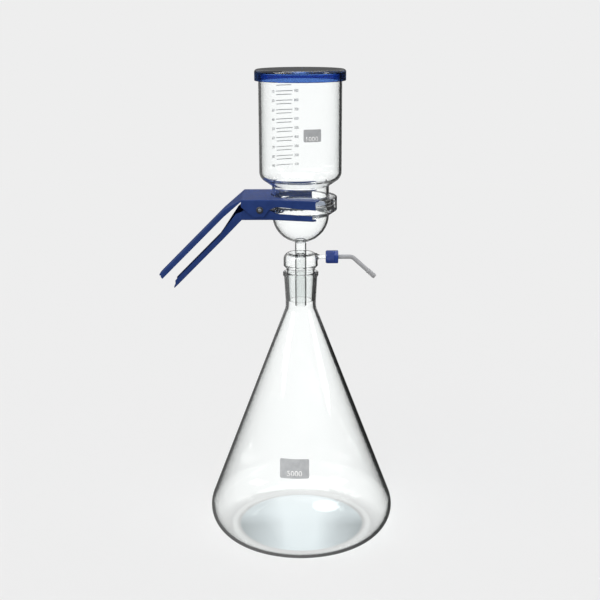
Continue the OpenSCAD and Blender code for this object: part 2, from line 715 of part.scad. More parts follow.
// A round wire along a path, as one closed skin with rings of 8 points
module wire(path, r) {
    d = headings(path);
    n = [for (i = 0, v = squared([0.1, 1, 0.2], d[0]); i < len(path);
        i = i + 1, v = i < len(path) ? squared(v, d[i]) : v) v];
    sides = 8;
    rings = [for (i = [0:len(path) - 1], k = [0:sides - 1]) let (a = 360 * k / sides)
        path[i] + r * (cos(a) * n[i] + sin(a) * cross(d[i], n[i]))];
    last = (len(path) - 1) * sides;
    polyhedron(rings, concat(
        [[for (k = [0:sides - 1]) k]],
        [for (i = [0:len(path) - 2], k = [0:sides - 1]) let (j = (k + 1) % sides)
            [i * sides + k, (i + 1) * sides + k, (i + 1) * sides + j, i * sides + j]],
        [[for (k = [0:sides - 1]) last + sides - 1 - k]]), convexity = 8);
}

module torsion_spring() {
    color([0.75, 0.76, 0.78])
    translate([pin_x, 0, pin_z])
    wire(spring_path, wire_r);
}

// ---------------------------------------------------------------- vacuum connection

module screw_cap() {
    color([0.13, 0.2, 0.5])
    turned_on_arm([[cap_x, cap_in_r], [cap_x, cap_r - cap_chamfer], [cap_x + cap_chamfer, cap_r],
        [cap_end_x - cap_chamfer, cap_r], [cap_end_x, cap_r - cap_chamfer],
        [cap_end_x, nozzle_r + nozzle_gap], [cap_floor_x, nozzle_r + nozzle_gap],
        [cap_floor_x, cap_in_r]]);
}

module seal_ring() {
    color([0.85, 0.85, 0.83])
    turned_on_arm([[seal_x, spigot_d / 2 + nozzle_gap], [seal_x, seal_r], [seal_x + seal_t, seal_r],
        [seal_x + seal_t, spigot_d / 2 + nozzle_gap]]);
}

// The tube turns down at the bend, and everything after it is drawn in the turned frame
module hose_nozzle() {
    color([0.82, 0.82, 0.81])
    difference() {
        union() {
            turned_on_arm([[spigot_x, 0], [spigot_x, spigot_r - spigot_chamfer],
                [spigot_x + 2 * spigot_chamfer, spigot_r], [collar_x, spigot_r],
                [collar_x, collar_r], [collar_x + collar_t, collar_r],
                [collar_x + collar_t, nozzle_r], [bend_x, nozzle_r], [bend_x, 0]]);
            nozzle_elbow(nozzle_r - bend_step);
            after_bend()
            rotate_extrude()
            polygon(concat(
                [[0, 0], [nozzle_r, 0], [nozzle_r, nozzle_leg]],
                [for (z = [nozzle_leg:barb_len:barbs_z - barb_len / 2])
                    each [[nozzle_r + barb_h, z + barb_back], [nozzle_r, z + barb_len]]],
                [[0, barbs_z]]));
        }
        turned_on_arm([[spigot_x - eps, 0], [spigot_x - eps, bore_r], [bend_x, bore_r], [bend_x, 0]]);
        nozzle_elbow(bore_r - bend_step);
        after_bend()
        cylinder(h = barbs_z + eps, r = bore_r);
    }
}

// The bend, run on a little inside the straight tubes on both sides
module nozzle_elbow(r) {
    translate([bend_x, 0, arm_z - nozzle_bend_r])
    rotate([90, 0, 0])
    rotate([0, 0, 90 - nozzle_bend - bend_over])
    rotate_extrude(angle = nozzle_bend + 2 * bend_over)
    translate([nozzle_bend_r, 0])
    circle(r = r);
}

module after_bend() {
    translate([bend_x + nozzle_bend_r * sin(nozzle_bend), 0,
        arm_z - nozzle_bend_r * (1 - cos(nozzle_bend))])
    rotate([0, 90 + nozzle_bend, 0])
    children();
}

flask();
filter_base();
sintered_disc();
cup();
lid();
upper_jaw();
lower_jaw();
pivot_pin();
front_retainer();
rear_retainer();
torsion_spring();
screw_cap();
seal_ring();
hose_nozzle();
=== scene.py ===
from math import acos, asin, atan2, cos, degrees, hypot, pi, radians, sin, tan

import bmesh
import bpy
from mathutils import Matrix, Vector


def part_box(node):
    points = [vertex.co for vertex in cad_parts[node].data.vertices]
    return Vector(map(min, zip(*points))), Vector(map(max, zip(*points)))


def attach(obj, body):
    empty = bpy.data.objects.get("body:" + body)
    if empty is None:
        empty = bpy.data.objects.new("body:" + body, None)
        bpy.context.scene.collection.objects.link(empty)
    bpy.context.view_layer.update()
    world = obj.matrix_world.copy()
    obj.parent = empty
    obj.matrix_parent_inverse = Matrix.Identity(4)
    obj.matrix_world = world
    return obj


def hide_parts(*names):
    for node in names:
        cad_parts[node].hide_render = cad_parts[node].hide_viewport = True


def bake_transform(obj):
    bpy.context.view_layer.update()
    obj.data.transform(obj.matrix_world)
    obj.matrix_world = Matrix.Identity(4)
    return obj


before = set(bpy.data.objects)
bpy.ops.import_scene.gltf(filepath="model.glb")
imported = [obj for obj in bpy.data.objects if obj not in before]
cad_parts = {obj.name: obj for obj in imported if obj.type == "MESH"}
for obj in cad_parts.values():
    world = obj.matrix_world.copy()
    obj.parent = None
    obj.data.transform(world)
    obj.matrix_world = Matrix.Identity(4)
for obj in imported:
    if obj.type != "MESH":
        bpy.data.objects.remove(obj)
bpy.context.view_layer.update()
mm = 0.001


# Flask: a blown five litre cone of clear borosilicate glass with a rounded heel, a domed base that stands
# on a narrow ring, and a ground socket with a fire-polished bead at its mouth.
flask_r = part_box("flask")[1].x
flask_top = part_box("flask")[1].z
flask_wall = 3.5 * mm
heel_r = 32 * mm
foot_w = 4 * mm
punt_h = 6 * mm
socket_top_r = 17.25 * mm
joint_len = 35 * mm
joint_taper = 0.1
neck_wall = 3 * mm
cone_drop = 44.6 * mm
neck_blend_r = 15 * mm
rim_bead = 1.2 * mm
rim_bead_h = 5 * mm
glass_ior = 1.47
glass_tint = (0.974, 0.988, 0.984, 1)
glass_tint_pale = (0.984, 0.993, 0.99, 1)
glass_shade = (0.93, 0.95, 0.95, 1)
tint_size = 9
haze_size = 60
haze_span = (0.45, 0.8)
haze_most = 0.02
ripple_size = 150
ripple_height = 0.35
weld = 0.002 * mm


def start_outline(name, x, z):
    """A new piece in edit mode that holds one point of an outline drawn in the XZ plane."""
    bpy.ops.object.select_all(action="DESELECT")
    bpy.ops.mesh.primitive_plane_add(size=1 * mm, location=(x, 0, z))
    bpy.context.object.name = bpy.context.object.data.name = name
    bpy.ops.object.transform_apply()
    bpy.ops.object.mode_set(mode="EDIT")
    bpy.ops.mesh.merge(type="CENTER")


def outline_end():
    """The point that the outline has reached."""
    points = bmesh.from_edit_mesh(bpy.context.object.data).verts
    return next(v.co.copy() for v in points if v.select)


def line_to(x, z):
    """Draws the outline straight on to a point."""
    here = outline_end()
    bpy.ops.mesh.extrude_region_move(TRANSFORM_OT_translate={"value": (x - here.x, 0, z - here.z)})


def curve_about(x, z, turn, steps=12):
    """Draws the outline on round a centre, turning by an angle in degrees, anticlockwise if positive."""
    bpy.ops.mesh.spin(steps=steps, angle=radians(turn), center=(x, 0, z), axis=(0, 1, 0))


def pick(*pieces):
    """Selects pieces and makes the first of them the active one."""
    bpy.ops.object.select_all(action="DESELECT")
    for piece in pieces:
        piece.select_set(True)
    bpy.context.view_layer.objects.active = pieces[0]


def shade(piece, crease=30):
    """Shades a piece smooth between its creases, with its broad faces kept true."""
    pick(piece)
    bpy.ops.object.shade_smooth_by_angle(angle=radians(crease))
    true_faces = piece.modifiers.new("true_faces", "WEIGHTED_NORMAL")
    true_faces.keep_sharp = True
    bpy.ops.object.modifier_apply(modifier=true_faces.name)


def close_up(threshold=weld):
    """Merges points that meet, turns every face outwards and gives the finished piece."""
    bpy.ops.mesh.select_all(action="SELECT")
    bpy.ops.mesh.remove_doubles(threshold=threshold)
    bpy.ops.mesh.normals_make_consistent(inside=False)
    bpy.ops.object.mode_set(mode="OBJECT")
    return bpy.context.object


def turn_solid(steps):
    """Turns the outline into a closed solid about the Z axis, as on a lathe, and gives the finished piece."""
    bpy.ops.mesh.select_all(action="SELECT")
    bpy.ops.mesh.spin(steps=steps, angle=2 * pi, center=(0, 0, 0), axis=(0, 0, 1))
    piece = close_up()
    shade(piece)
    return piece


def feed(w, socket, value):
    """Gives a socket a plain value, or links it to the socket that its value comes from."""
    if isinstance(value, bpy.types.NodeSocket):
        w.new(value, socket)
    else:
        socket.default_value = value


def ranged(n, w, value, low, high, at_low, at_high):
    """Turns a value that runs between two bounds into one that runs between two others."""
    step = n.new("ShaderNodeMapRange")
    for socket, bound in (("From Min", low), ("From Max", high), ("To Min", at_low), ("To Max", at_high)):
        step.inputs[socket].default_value = bound
    w.new(value, step.inputs["Value"])
    return step.outputs["Result"]


def of_two(n, w, operation, one, two):
    """Combines two values."""
    step = n.new("ShaderNodeMath")
    step.operation = operation
    feed(w, step.inputs[0], one)
    feed(w, step.inputs[1], two)
    return step.outputs["Value"]


def between(n, w, factor, one, two, kind="RGBA"):
    """Mixes two colours, or two values if the kind is FLOAT, by a factor."""
    step = n.new("ShaderNodeMix")
    step.data_type = kind
    w.new(factor, step.inputs["Factor"])
    feed(w, step.inputs["A"], one)
    feed(w, step.inputs["B"], two)
    return step.outputs["Result"]


def pattern(n, w, place, size, detail=2):
    """A soft uneven pattern that keeps its place on the piece."""
    step = n.new("ShaderNodeTexNoise")
    step.inputs["Detail"].default_value = detail
    feed(w, step.inputs["Scale"], size)
    w.new(place, step.inputs["Vector"])
    return step.outputs["Fac"]


def bumps(n, w, height, strength, distance=1 * mm):
    """Raises a surface by a pattern."""
    step = n.new("ShaderNodeBump")
    step.inputs["Distance"].default_value = distance
    w.new(height, step.inputs["Height"])
    w.new(strength, step.inputs["Strength"])
    return step


def new_group(name, takes, gives):
    """A node group, its nodes and links, what it takes and what it gives. What it gives ends in a surface."""
    group = bpy.data.node_groups.new(name, "ShaderNodeTree")
    for socket in takes:
        group.interface.new_socket(socket, in_out="INPUT", socket_type="NodeSocketFloat")
    for socket in gives:
        group.interface.new_socket(socket, in_out="OUTPUT", socket_type="NodeSocketFloat")
    group.interface.new_socket("Surface", in_out="OUTPUT", socket_type="NodeSocketVector")
    n = group.nodes
    return group, n, group.links, n.new("NodeGroupInput").outputs, n.new("NodeGroupOutput").inputs


def use_group(n, group, *values):
    """Adds a node group, with its values in the order of its sockets, and gives what comes out of it."""
    step = n.new("ShaderNodeGroup")
    step.node_tree = group
    for socket, value in zip(step.inputs, values):
        socket.default_value = value
    return step.outputs


def new_material(name):
    """A new material with its nodes and links."""
    material = bpy.data.materials.new(name)
    material.use_nodes = True
    return material, material.node_tree.nodes, material.node_tree.links


def set_shader(material, values):
    """Sets values of a material's shader, or links them to the sockets that they come from."""
    tree = material.node_tree
    for name, value in values.items():
        feed(tree.links, tree.nodes["Principled BSDF"].inputs[name], value)


def mix_shaders(n, w, factor, one, two):
    """Gives a material a surface that a factor mixes from two shaders."""
    mix = n.new("ShaderNodeMixShader")
    w.new(factor, mix.inputs["Fac"])
    w.new(one.outputs[0], mix.inputs[1])
    w.new(two.outputs[0], mix.inputs[2])
    w.new(mix.outputs["Shader"], n["Material Output"].inputs["Surface"])


def let_lamps_through(n, w, colour):
    """Lets the light of the lamps pass through a material, in a colour."""
    through = n.new("ShaderNodeBsdfTransparent")
    through.inputs["Color"].default_value = colour
    shadow = n.new("ShaderNodeLightPath").outputs["Is Shadow Ray"]
    mix_shaders(n, w, shadow, n["Principled BSDF"], through)


# Hand-worked glass is never quite even: long soft waves in its surface, a trace of haze from handling, and
# ripples left by the tools where a thick flange was shaped.
glass_waves, n, w, given, made = new_group(
    "glass_waves", ("Wave size", "Wave height", "Ripple low", "Ripple high"), ("Haze",))
place = n.new("ShaderNodeTexCoord").outputs["Object"]
parts = n.new("ShaderNodeSeparateXYZ")
w.new(place, parts.inputs["Vector"])
above = of_two(n, w, "GREATER_THAN", parts.outputs["Z"], given["Ripple low"])
below = of_two(n, w, "LESS_THAN", parts.outputs["Z"], given["Ripple high"])
band = of_two(n, w, "MULTIPLY", above, below)
waves = bumps(n, w, pattern(n, w, place, given["Wave size"], 1), given["Wave height"])
ripples = bumps(n, w, pattern(n, w, place, ripple_size, 1), of_two(n, w, "MULTIPLY", band, ripple_height))
w.new(waves.outputs["Normal"], ripples.inputs["Normal"])
w.new(ranged(n, w, pattern(n, w, place, haze_size), *haze_span, 0, haze_most), made["Haze"])
w.new(ripples.outputs["Normal"], made["Surface"])


def clear_glass(name, wave_size, wave_height, rippled=(0, 0)):
    """Clear glass that lets the lamps through, so that what stands in it is lit. It can be rippled between
    two heights."""
    glass, n, w = new_material(name)
    set_shader(glass, {"Base Color": glass_tint, "IOR": glass_ior, "Transmission Weight": 1})
    place = n.new("ShaderNodeTexCoord").outputs["Object"]
    tint = between(n, w, pattern(n, w, place, tint_size), glass_tint, glass_tint_pale)
    waves = use_group(n, glass_waves, wave_size, wave_height, *rippled)
    set_shader(glass, {"Base Color": tint, "Roughness": waves["Haze"], "Normal": waves["Surface"]})
    let_lamps_through(n, w, glass_shade)
    return glass


def keep_piece(piece, body, slot, material, *nodes):
    """Gives a finished piece its material, its moving body and the CAD nodes that it stands for."""
    piece.data.materials.clear()
    piece.data.materials.append(material)
    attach(piece, body)
    if nodes:
        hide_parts(*nodes)


socket_low = flask_top - joint_len
socket_low_r = socket_top_r - joint_len * joint_taper / 2
neck_r = socket_low_r + neck_wall
rim_r = socket_top_r + neck_wall
heel_x = flask_r - heel_r
foot_in_r = heel_x - foot_w
punt_r = (foot_in_r ** 2 + punt_h ** 2) / (2 * punt_h)
punt_turn = degrees(asin(foot_in_r / punt_r))
cone_rise = Vector((neck_r - heel_x, flask_top - cone_drop - heel_r))
cone_lean = atan2(cone_rise.y, cone_rise.x) - acos(heel_r / cone_rise.length)
blend_x = neck_r + neck_blend_r
blend_z = heel_r + (heel_r + neck_blend_r - (blend_x - heel_x) * cos(cone_lean)) / sin(cone_lean)

start_outline("flask_glass", 0, punt_h)
curve_about(0, punt_h - punt_r, -punt_turn)
line_to(heel_x, 0)
curve_about(heel_x, heel_r, 90 + degrees(cone_lean), 24)
line_to(blend_x - neck_blend_r * cos(cone_lean), blend_z - neck_blend_r * sin(cone_lean))
curve_about(blend_x, blend_z, -degrees(cone_lean))
line_to(neck_r, socket_low)
line_to(rim_r, flask_top - rim_bead_h)
curve_about(rim_r, flask_top - rim_bead_h + rim_bead, 90, 6)
line_to(rim_r + rim_bead, flask_top - rim_bead)
curve_about(rim_r, flask_top - rim_bead, 90, 6)
line_to(socket_top_r + rim_bead, flask_top)
curve_about(socket_top_r + rim_bead, flask_top - rim_bead, 90, 6)
line_to(socket_low_r, socket_low)
line_to(neck_r - flask_wall, socket_low - 1 * mm)
line_to(neck_r - flask_wall, blend_z)
curve_about(blend_x, blend_z, degrees(cone_lean))
line_to(heel_x + (heel_r - flask_wall) * cos(cone_lean), heel_r + (heel_r - flask_wall) * sin(cone_lean))
curve_about(heel_x, heel_r, -90 - degrees(cone_lean), 24)
line_to(foot_in_r, flask_wall)
curve_about(0, punt_h + flask_wall - punt_r, punt_turn)
flask = turn_solid(steps=192)
flask_glass = clear_glass("flask_glass", wave_size=16, wave_height=0.02)
keep_piece(flask, "base", "clear_glass", flask_glass, "flask")


# Filter base: one piece of blown glass. A ground cone sits in the flask's socket, a vacuum chamber above it
# surrounds the drip tube, the side arm draws the air off, and the bulb ends in a thick ground flange.
drip_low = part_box("filter_base")[0].z
face_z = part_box("filter_base")[1].z
flange_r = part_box("filter_base")[1].y
base_wall = 2.4 * mm
joint_gap = 0.08 * mm
joint_wall = 2 * mm
chamber_r = 20.7 * mm
chamber_z = flask_top + 23.5 * mm
chamber_low = flask_top + 8 * mm
cone_top = flask_top + 4 * mm
shoulder_w = 6.3 * mm
shoulder_h = 8 * mm
dish_h = 1.6 * mm
drip_r = 6.85 * mm
drip_in_r = 5.35 * mm
bulb_r = 33.9 * mm
bulb_z = chamber_z + 13 * mm + bulb_r
bulb_blend = 2.5 * mm
flange_side = 8.6 * mm
flange_taper = 5.3 * mm
flange_round = 1.6 * mm
arm_z = chamber_z - 5.4 * mm
arm_r = 2.9 * mm
arm_bore_r = 1.7 * mm
root_spread = 1.8 * mm
root_len = 4.7 * mm
thread_x = chamber_r + 10 * mm
thread_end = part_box("screw_cap")[1].x - 4 * mm
thread_r = 5.5 * mm
thread_bore_r = 2.6 * mm
thread_depth = 0.6 * mm
thread_pitch = 2.5 * mm
thread_lead = 0.8 * mm
thread_stop = 0.5 * mm
ridge_power = 0.7
step_len = 2.6 * mm
overrun = 1 * mm


def oval_to(x, z, wide, high, start, end, steps=12):
    """Draws the outline on along part of an ellipse between two angles in degrees."""
    for i in range(1, steps + 1):
        a = radians(start + (end - start) * i / steps)
        line_to(x + wide * cos(a), z + high * sin(a))


def lay_on_arm(piece):
    """Lays a piece that was turned about the Z axis along the side arm, from its root outwards."""
    piece.data.transform(Matrix.Translation((0, 0, arm_z)) @ Matrix.Rotation(radians(90), 4, "Y"))


def combine(piece, other, operation):
    """Fuses another solid to a piece or cuts it away, and removes the other solid."""
    step = piece.modifiers.new(operation, "BOOLEAN")
    step.operation = operation
    step.solver = "EXACT"
    step.object = other
    pick(piece)
    bpy.ops.object.modifier_apply(modifier=step.name)
    bpy.data.objects.remove(other)


cone_low_r = socket_low_r - joint_gap
cone_rim_r = socket_top_r - joint_gap
bulb_in_r = bulb_r - base_wall
blend_a = acos((drip_r + bulb_blend) / (bulb_r + bulb_blend))
blend_low_z = bulb_z - (bulb_r + bulb_blend) * sin(blend_a)
taper_top = face_z - flange_side
taper_low = taper_top - flange_taper
taper_in_r = bulb_r + flange_round
taper_a = atan2(flange_taper, flange_r - taper_in_r)
taper_round_z = (taper_low + (flange_r - flange_round - taper_in_r) * tan(taper_a)
                 + flange_round / cos(taper_a))
flange_top_round = flange_round / 2

start_outline("filter_base_glass", 0, drip_low)
line_to(drip_r, drip_low)
line_to(drip_r, socket_low)
line_to(cone_low_r, socket_low)
line_to(cone_rim_r, flask_top)
line_to(cone_rim_r, cone_top)
line_to(chamber_r, chamber_low)
line_to(chamber_r, chamber_z - shoulder_h)
oval_to(chamber_r - shoulder_w, chamber_z - shoulder_h, shoulder_w, shoulder_h, 0, 90)
line_to(drip_r, chamber_z - dish_h)
line_to(drip_r, blend_low_z)
curve_about(drip_r + bulb_blend, blend_low_z, -degrees(blend_a), 8)
curve_about(0, bulb_z, degrees(blend_a), 32)
line_to(bulb_r, taper_low - flange_round)
curve_about(taper_in_r, taper_low - flange_round, -90, 6)
line_to(flange_r - flange_round + flange_round * sin(taper_a), taper_round_z - flange_round * cos(taper_a))
curve_about(flange_r - flange_round, taper_round_z, 90 - degrees(taper_a), 6)
line_to(flange_r, face_z - flange_top_round)
curve_about(flange_r - flange_top_round, face_z - flange_top_round, 90, 6)
line_to(0, face_z)
filter_base = turn_solid(steps=160)

start_outline("arm_outside", 0, chamber_r - shoulder_w)
line_to(arm_r + root_spread, chamber_r - shoulder_w)
line_to(arm_r + root_spread, chamber_r - base_wall / 2)
oval_to(arm_r + root_spread, chamber_r - base_wall / 2 + root_len, root_spread, root_len, 270, 180, 8)
line_to(arm_r, thread_x)
line_to(thread_r - thread_depth, thread_x + step_len)
ring_count = 48
thread_len = thread_end - thread_x - step_len
for i in range(1, ring_count + 1):
    line_to(thread_r - thread_depth, thread_x + step_len + thread_len * i / ring_count)
line_to(0, thread_end)
arm = turn_solid(steps=96)
for v in arm.data.vertices:
    along = v.co.z - thread_x - step_len - thread_lead
    left = thread_end - thread_stop - v.co.z
    if along > 0 and left > 0 and hypot(v.co.x, v.co.y) > thread_bore_r:
        phase = ((along + thread_lead) / thread_pitch - atan2(v.co.y, v.co.x) / (2 * pi)) % 1
        ridge = max(0, cos(2 * pi * phase)) ** ridge_power
        ends = min(1, along / mm, left / mm)
        v.co.xy *= 1 + thread_depth * ridge * max(0, ends) / (thread_r - thread_depth)
lay_on_arm(arm)
combine(filter_base, arm, "UNION")

start_outline("bulb_hollow", 0, drip_low - overrun)
line_to(drip_in_r, drip_low - overrun)
line_to(drip_in_r, bulb_z - bulb_in_r * sin(acos(drip_in_r / bulb_in_r)))
curve_about(0, bulb_z, degrees(acos(drip_in_r / bulb_in_r)), 32)
line_to(bulb_in_r, face_z + overrun)
line_to(0, face_z + overrun)
combine(filter_base, turn_solid(steps=160), "DIFFERENCE")

start_outline("chamber_hollow", drip_r, socket_low - overrun)
line_to(cone_low_r - joint_wall, socket_low - overrun)
line_to(cone_low_r - joint_wall, socket_low)
line_to(cone_rim_r - joint_wall, flask_top)
line_to(cone_rim_r - joint_wall, cone_top + joint_wall / 2)
line_to(chamber_r - base_wall, chamber_low + joint_wall / 2)
line_to(chamber_r - base_wall, chamber_z - shoulder_h)
oval_to(chamber_r - shoulder_w, chamber_z - shoulder_h,
        shoulder_w - base_wall, shoulder_h - base_wall, 0, 90)
line_to(drip_r, chamber_z - dish_h - base_wall)
line_to(drip_r, socket_low - overrun)
combine(filter_base, turn_solid(steps=160), "DIFFERENCE")

start_outline("arm_hollow", 0, chamber_r - shoulder_w)
line_to(arm_bore_r, chamber_r - shoulder_w)
line_to(arm_bore_r, thread_x + step_len / 2)
line_to(thread_bore_r, thread_x + step_len)
line_to(thread_bore_r, thread_end + overrun)
line_to(0, thread_end + overrun)
arm_hollow = turn_solid(steps=64)
lay_on_arm(arm_hollow)
combine(filter_base, arm_hollow, "DIFFERENCE")
shade(filter_base)
base_glass = clear_glass("base_glass", wave_size=40, wave_height=0.03, rippled=(taper_low, face_z - 1 * mm))
keep_piece(filter_base, "base", "clear_glass", base_glass, "filter_base")


# Sintered disc: a round plate of fused glass grains, fixed inside the flange, that the liquid passes through.
# Every grain scatters the light, so it is dull, and not clear like the glass round it.
disc_low, disc_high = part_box("sintered_disc")
disc_edge = 0.4 * mm
drift_span = (0.35, 0.65)
gloss_span = (0.3, 0.7)

# The surface of most other pieces: broad patches and fine grains, and the bumps that the grains make.
fine_surface, n, w, given, made = new_group(
    "fine_surface", ("Patch size", "Grain size", "Grain height"), ("Patches", "Grains"))
place = n.new("ShaderNodeTexCoord").outputs["Object"]
grains = pattern(n, w, place, given["Grain size"], 3)
w.new(pattern(n, w, place, given["Patch size"], 4), made["Patches"])
w.new(grains, made["Grains"])
w.new(bumps(n, w, grains, given["Grain height"], 0.1 * mm).outputs["Normal"], made["Surface"])


def finish_of(name, dark, light, rough, patch, grain, height, tone="Patches"):
    """An even finish whose colour and gloss drift between two values, with a fine grain in its surface."""
    finish, n, w = new_material(name)
    surface = use_group(n, fine_surface, patch, grain, height)
    drift = ranged(n, w, surface[tone], *drift_span, 0, 1)
    gloss = ranged(n, w, surface["Patches"], *gloss_span, *rough)
    set_shader(finish, {"Base Color": between(n, w, drift, (*dark, 1), (*light, 1)), "Roughness": gloss,
                        "Normal": surface["Surface"]})
    return finish


def side_up(r, low, high, low_round, high_round, steps):
    """Draws the outline on up an outer side whose two corners are rounded."""
    line_to(r - low_round, low)
    curve_about(r - low_round, low + low_round, 90, steps)
    line_to(r, high - high_round)
    curve_about(r - high_round, high - high_round, 90, steps)


start_outline("sintered_disc_plate", 0, disc_low.z)
side_up(disc_high.x, disc_low.z, disc_high.z, disc_edge, disc_edge, 4)
line_to(0, disc_high.z)
sinter = finish_of("sintered_glass", (0.22, 0.235, 0.26), (0.34, 0.355, 0.38),
                   rough=(0.75, 0.95), patch=60, grain=1800, height=0.6, tone="Grains")
keep_piece(turn_solid(steps=96), "base", "sintered_glass", sinter, "sintered_disc")


# Cup: a blown one litre glass cylinder whose shoulder runs down to a short neck with a thick ground flange.
# Its rim is fire-polished round.
cup_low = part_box("cup")[0].z
cup_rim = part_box("cup")[1].z
cup_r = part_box("cup")[1].x
cup_wall = 3 * mm
cup_flange_h = 7.7 * mm
cup_neck_h = 12.4 * mm
cup_corner_r = 12 * mm
cup_shoulder = 35
neck_bend_r = 1.2 * mm
neck_bend_in_r = 2 * mm
neck_foot_r = 1 * mm

cup_flange = face_z + cup_flange_h
cup_neck = cup_flange + cup_neck_h
corner_turn = 90 - cup_shoulder
turn_cos = cos(radians(corner_turn))
turn_sin = sin(radians(corner_turn))
half_turn = tan(radians(corner_turn / 2))
corner_end_r = cup_r - cup_corner_r * (1 - turn_cos)
corner_z = cup_neck + (corner_end_r - bulb_r) * tan(radians(cup_shoulder)) + cup_corner_r * turn_sin
neck_top = cup_neck - neck_bend_r * half_turn
inner_r = bulb_r - cup_wall
inner_top = cup_neck + (cup_wall - neck_bend_in_r) * half_turn

start_outline("cup_glass", inner_r, cup_low)
side_up(flange_r, cup_low, cup_flange, flange_top_round, flange_round, 6)
line_to(bulb_r + neck_foot_r, cup_flange)
curve_about(bulb_r + neck_foot_r, cup_flange + neck_foot_r, -90, 5)
line_to(bulb_r, neck_top)
curve_about(bulb_r + neck_bend_r, neck_top, -corner_turn, 8)
line_to(cup_r - cup_corner_r + cup_corner_r * turn_cos, corner_z - cup_corner_r * turn_sin)
curve_about(cup_r - cup_corner_r, corner_z, corner_turn, 16)
line_to(cup_r, cup_rim - cup_wall / 2)
curve_about(cup_r - cup_wall / 2, cup_rim - cup_wall / 2, 180, 10)
line_to(cup_r - cup_wall, corner_z)
curve_about(cup_r - cup_corner_r, corner_z, -corner_turn, 16)
line_to(inner_r + neck_bend_in_r * (1 - turn_cos), inner_top + neck_bend_in_r * turn_sin)
curve_about(inner_r + neck_bend_in_r, inner_top, corner_turn, 8)
line_to(inner_r, cup_low)
cup = turn_solid(steps=192)
cup_glass = clear_glass("cup_glass", wave_size=20, wave_height=0.02, rippled=(cup_low + 1 * mm, cup_flange))
keep_piece(cup, "base", "clear_glass", cup_glass, "cup")


# Printed scale and fields: grey ceramic enamel, screen printed on the outside of the glass and fired on. The
# scale with its plain numbers is on the back of the cup. In front, each vessel has a field with its volume.
# Places round the cup are angles in degrees about the Z axis, and places round the flask are lengths.
print_gap = 0.04 * mm
print_thick = 0.04 * mm
scale_count = 9
scale_low = 460.3 * mm
scale_pitch = 11.05 * mm
scale_minor = 6.9 * mm
scale_line = 0.75 * mm
scale_major = (101.5, 129)
scale_minor_span = (103.3, 128.2)
scale_right_number = 95.8
scale_left_number = 134.9
scale_number_h = 3.2 * mm
scale_bold = 0.012
right_wide = 0.8
left_wide = 1.1
cup_field = ((-85.8, 497.6 * mm), (-61.1, 511.8 * mm))
cup_field_number = (-74.6, 498.7 * mm, 4.9 * mm)
flask_field = ((-25.8 * mm, 104 * mm), (9.4 * mm, 125.6 * mm))
flask_field_number = (-8.2 * mm, 106.6 * mm, 5.8 * mm)
field_corner = 1.6 * mm
label_wide = 1.12
label_bold = 0.022
digit_share = 0.7


def flat_patch(low, high, columns, rows, corner=0):
    """A flat printed patch between two corners in its own plane, with rounded corners if asked."""
    bpy.ops.object.select_all(action="DESELECT")
    bpy.ops.mesh.primitive_plane_add(size=1)
    patch = bpy.context.object
    patch.scale = (high[0] - low[0], high[1] - low[1], 1)
    patch.location = ((high[0] + low[0]) / 2, (high[1] + low[1]) / 2, 0)
    bpy.ops.object.transform_apply()
    bpy.ops.object.mode_set(mode="EDIT")
    if corner:
        bpy.ops.mesh.bevel(offset=corner, segments=5, affect="VERTICES")
    for across, cuts in ((0, columns), (1, rows)):
        for i in range(1, cuts):
            bpy.ops.mesh.select_all(action="SELECT")
            place = [low[0], low[1], 0]
            place[across] += (high[across] - low[across]) * i / cuts
            bpy.ops.mesh.bisect(plane_co=place, plane_no=(1 - across, across, 0))
    bpy.ops.object.mode_set(mode="OBJECT")
    return patch


def flat_number(number, x, y, high, wide, bold):
    """A plain number lying flat in its own plane, centred over a point on its baseline. wide stretches it
    and bold widens its strokes, as a share of its height."""
    bpy.ops.object.select_all(action="DESELECT")
    bpy.ops.object.text_add()
    words = bpy.context.object
    words.data.body = str(number)
    words.data.align_x = "CENTER"
    words.data.size = high / digit_share
    words.data.offset = bold * high
    words.data.resolution_u = 4
    bpy.ops.object.convert(target="MESH")
    bpy.context.object.data.transform(Matrix.Translation((x, y, 0)) @ Matrix.Scale(wide, 4, (1, 0, 0)))
    return bpy.context.object


def wrap(piece, radius_at, angle_at):
    """Bends a flat print round the glass: x becomes an angle about the Z axis, y a height and z a radius."""
    for v in piece.data.vertices:
        r = radius_at(v.co.y)
        a = angle_at(v.co.x, r)
        v.co = ((r + v.co.z) * cos(a), (r + v.co.z) * sin(a), v.co.y)


def joined(name, pieces):
    """Joins prints into one piece and gives the ink its thickness."""
    pick(*pieces)
    bpy.ops.object.join()
    bpy.ops.object.mode_set(mode="EDIT")
    piece = close_up()
    piece.name = piece.data.name = name
    thick = piece.modifiers.new("ink", "SOLIDIFY")
    thick.thickness = print_thick
    thick.offset = 0
    bpy.ops.object.modifier_apply(modifier=thick.name)
    return piece


def on_back(x, r):
    """The angle about the Z axis of a print's x on the back of a vessel."""
    return radians(90) - x / r


def on_front(x, r):
    """The angle about the Z axis of a print's x on the front of a vessel."""
    return radians(-90) + x / r


scale_r = cup_r + print_gap


def across_back(a):
    """How far a place on the cup's back lies from the middle, from its angle in degrees."""
    return -radians(a - 90) * scale_r


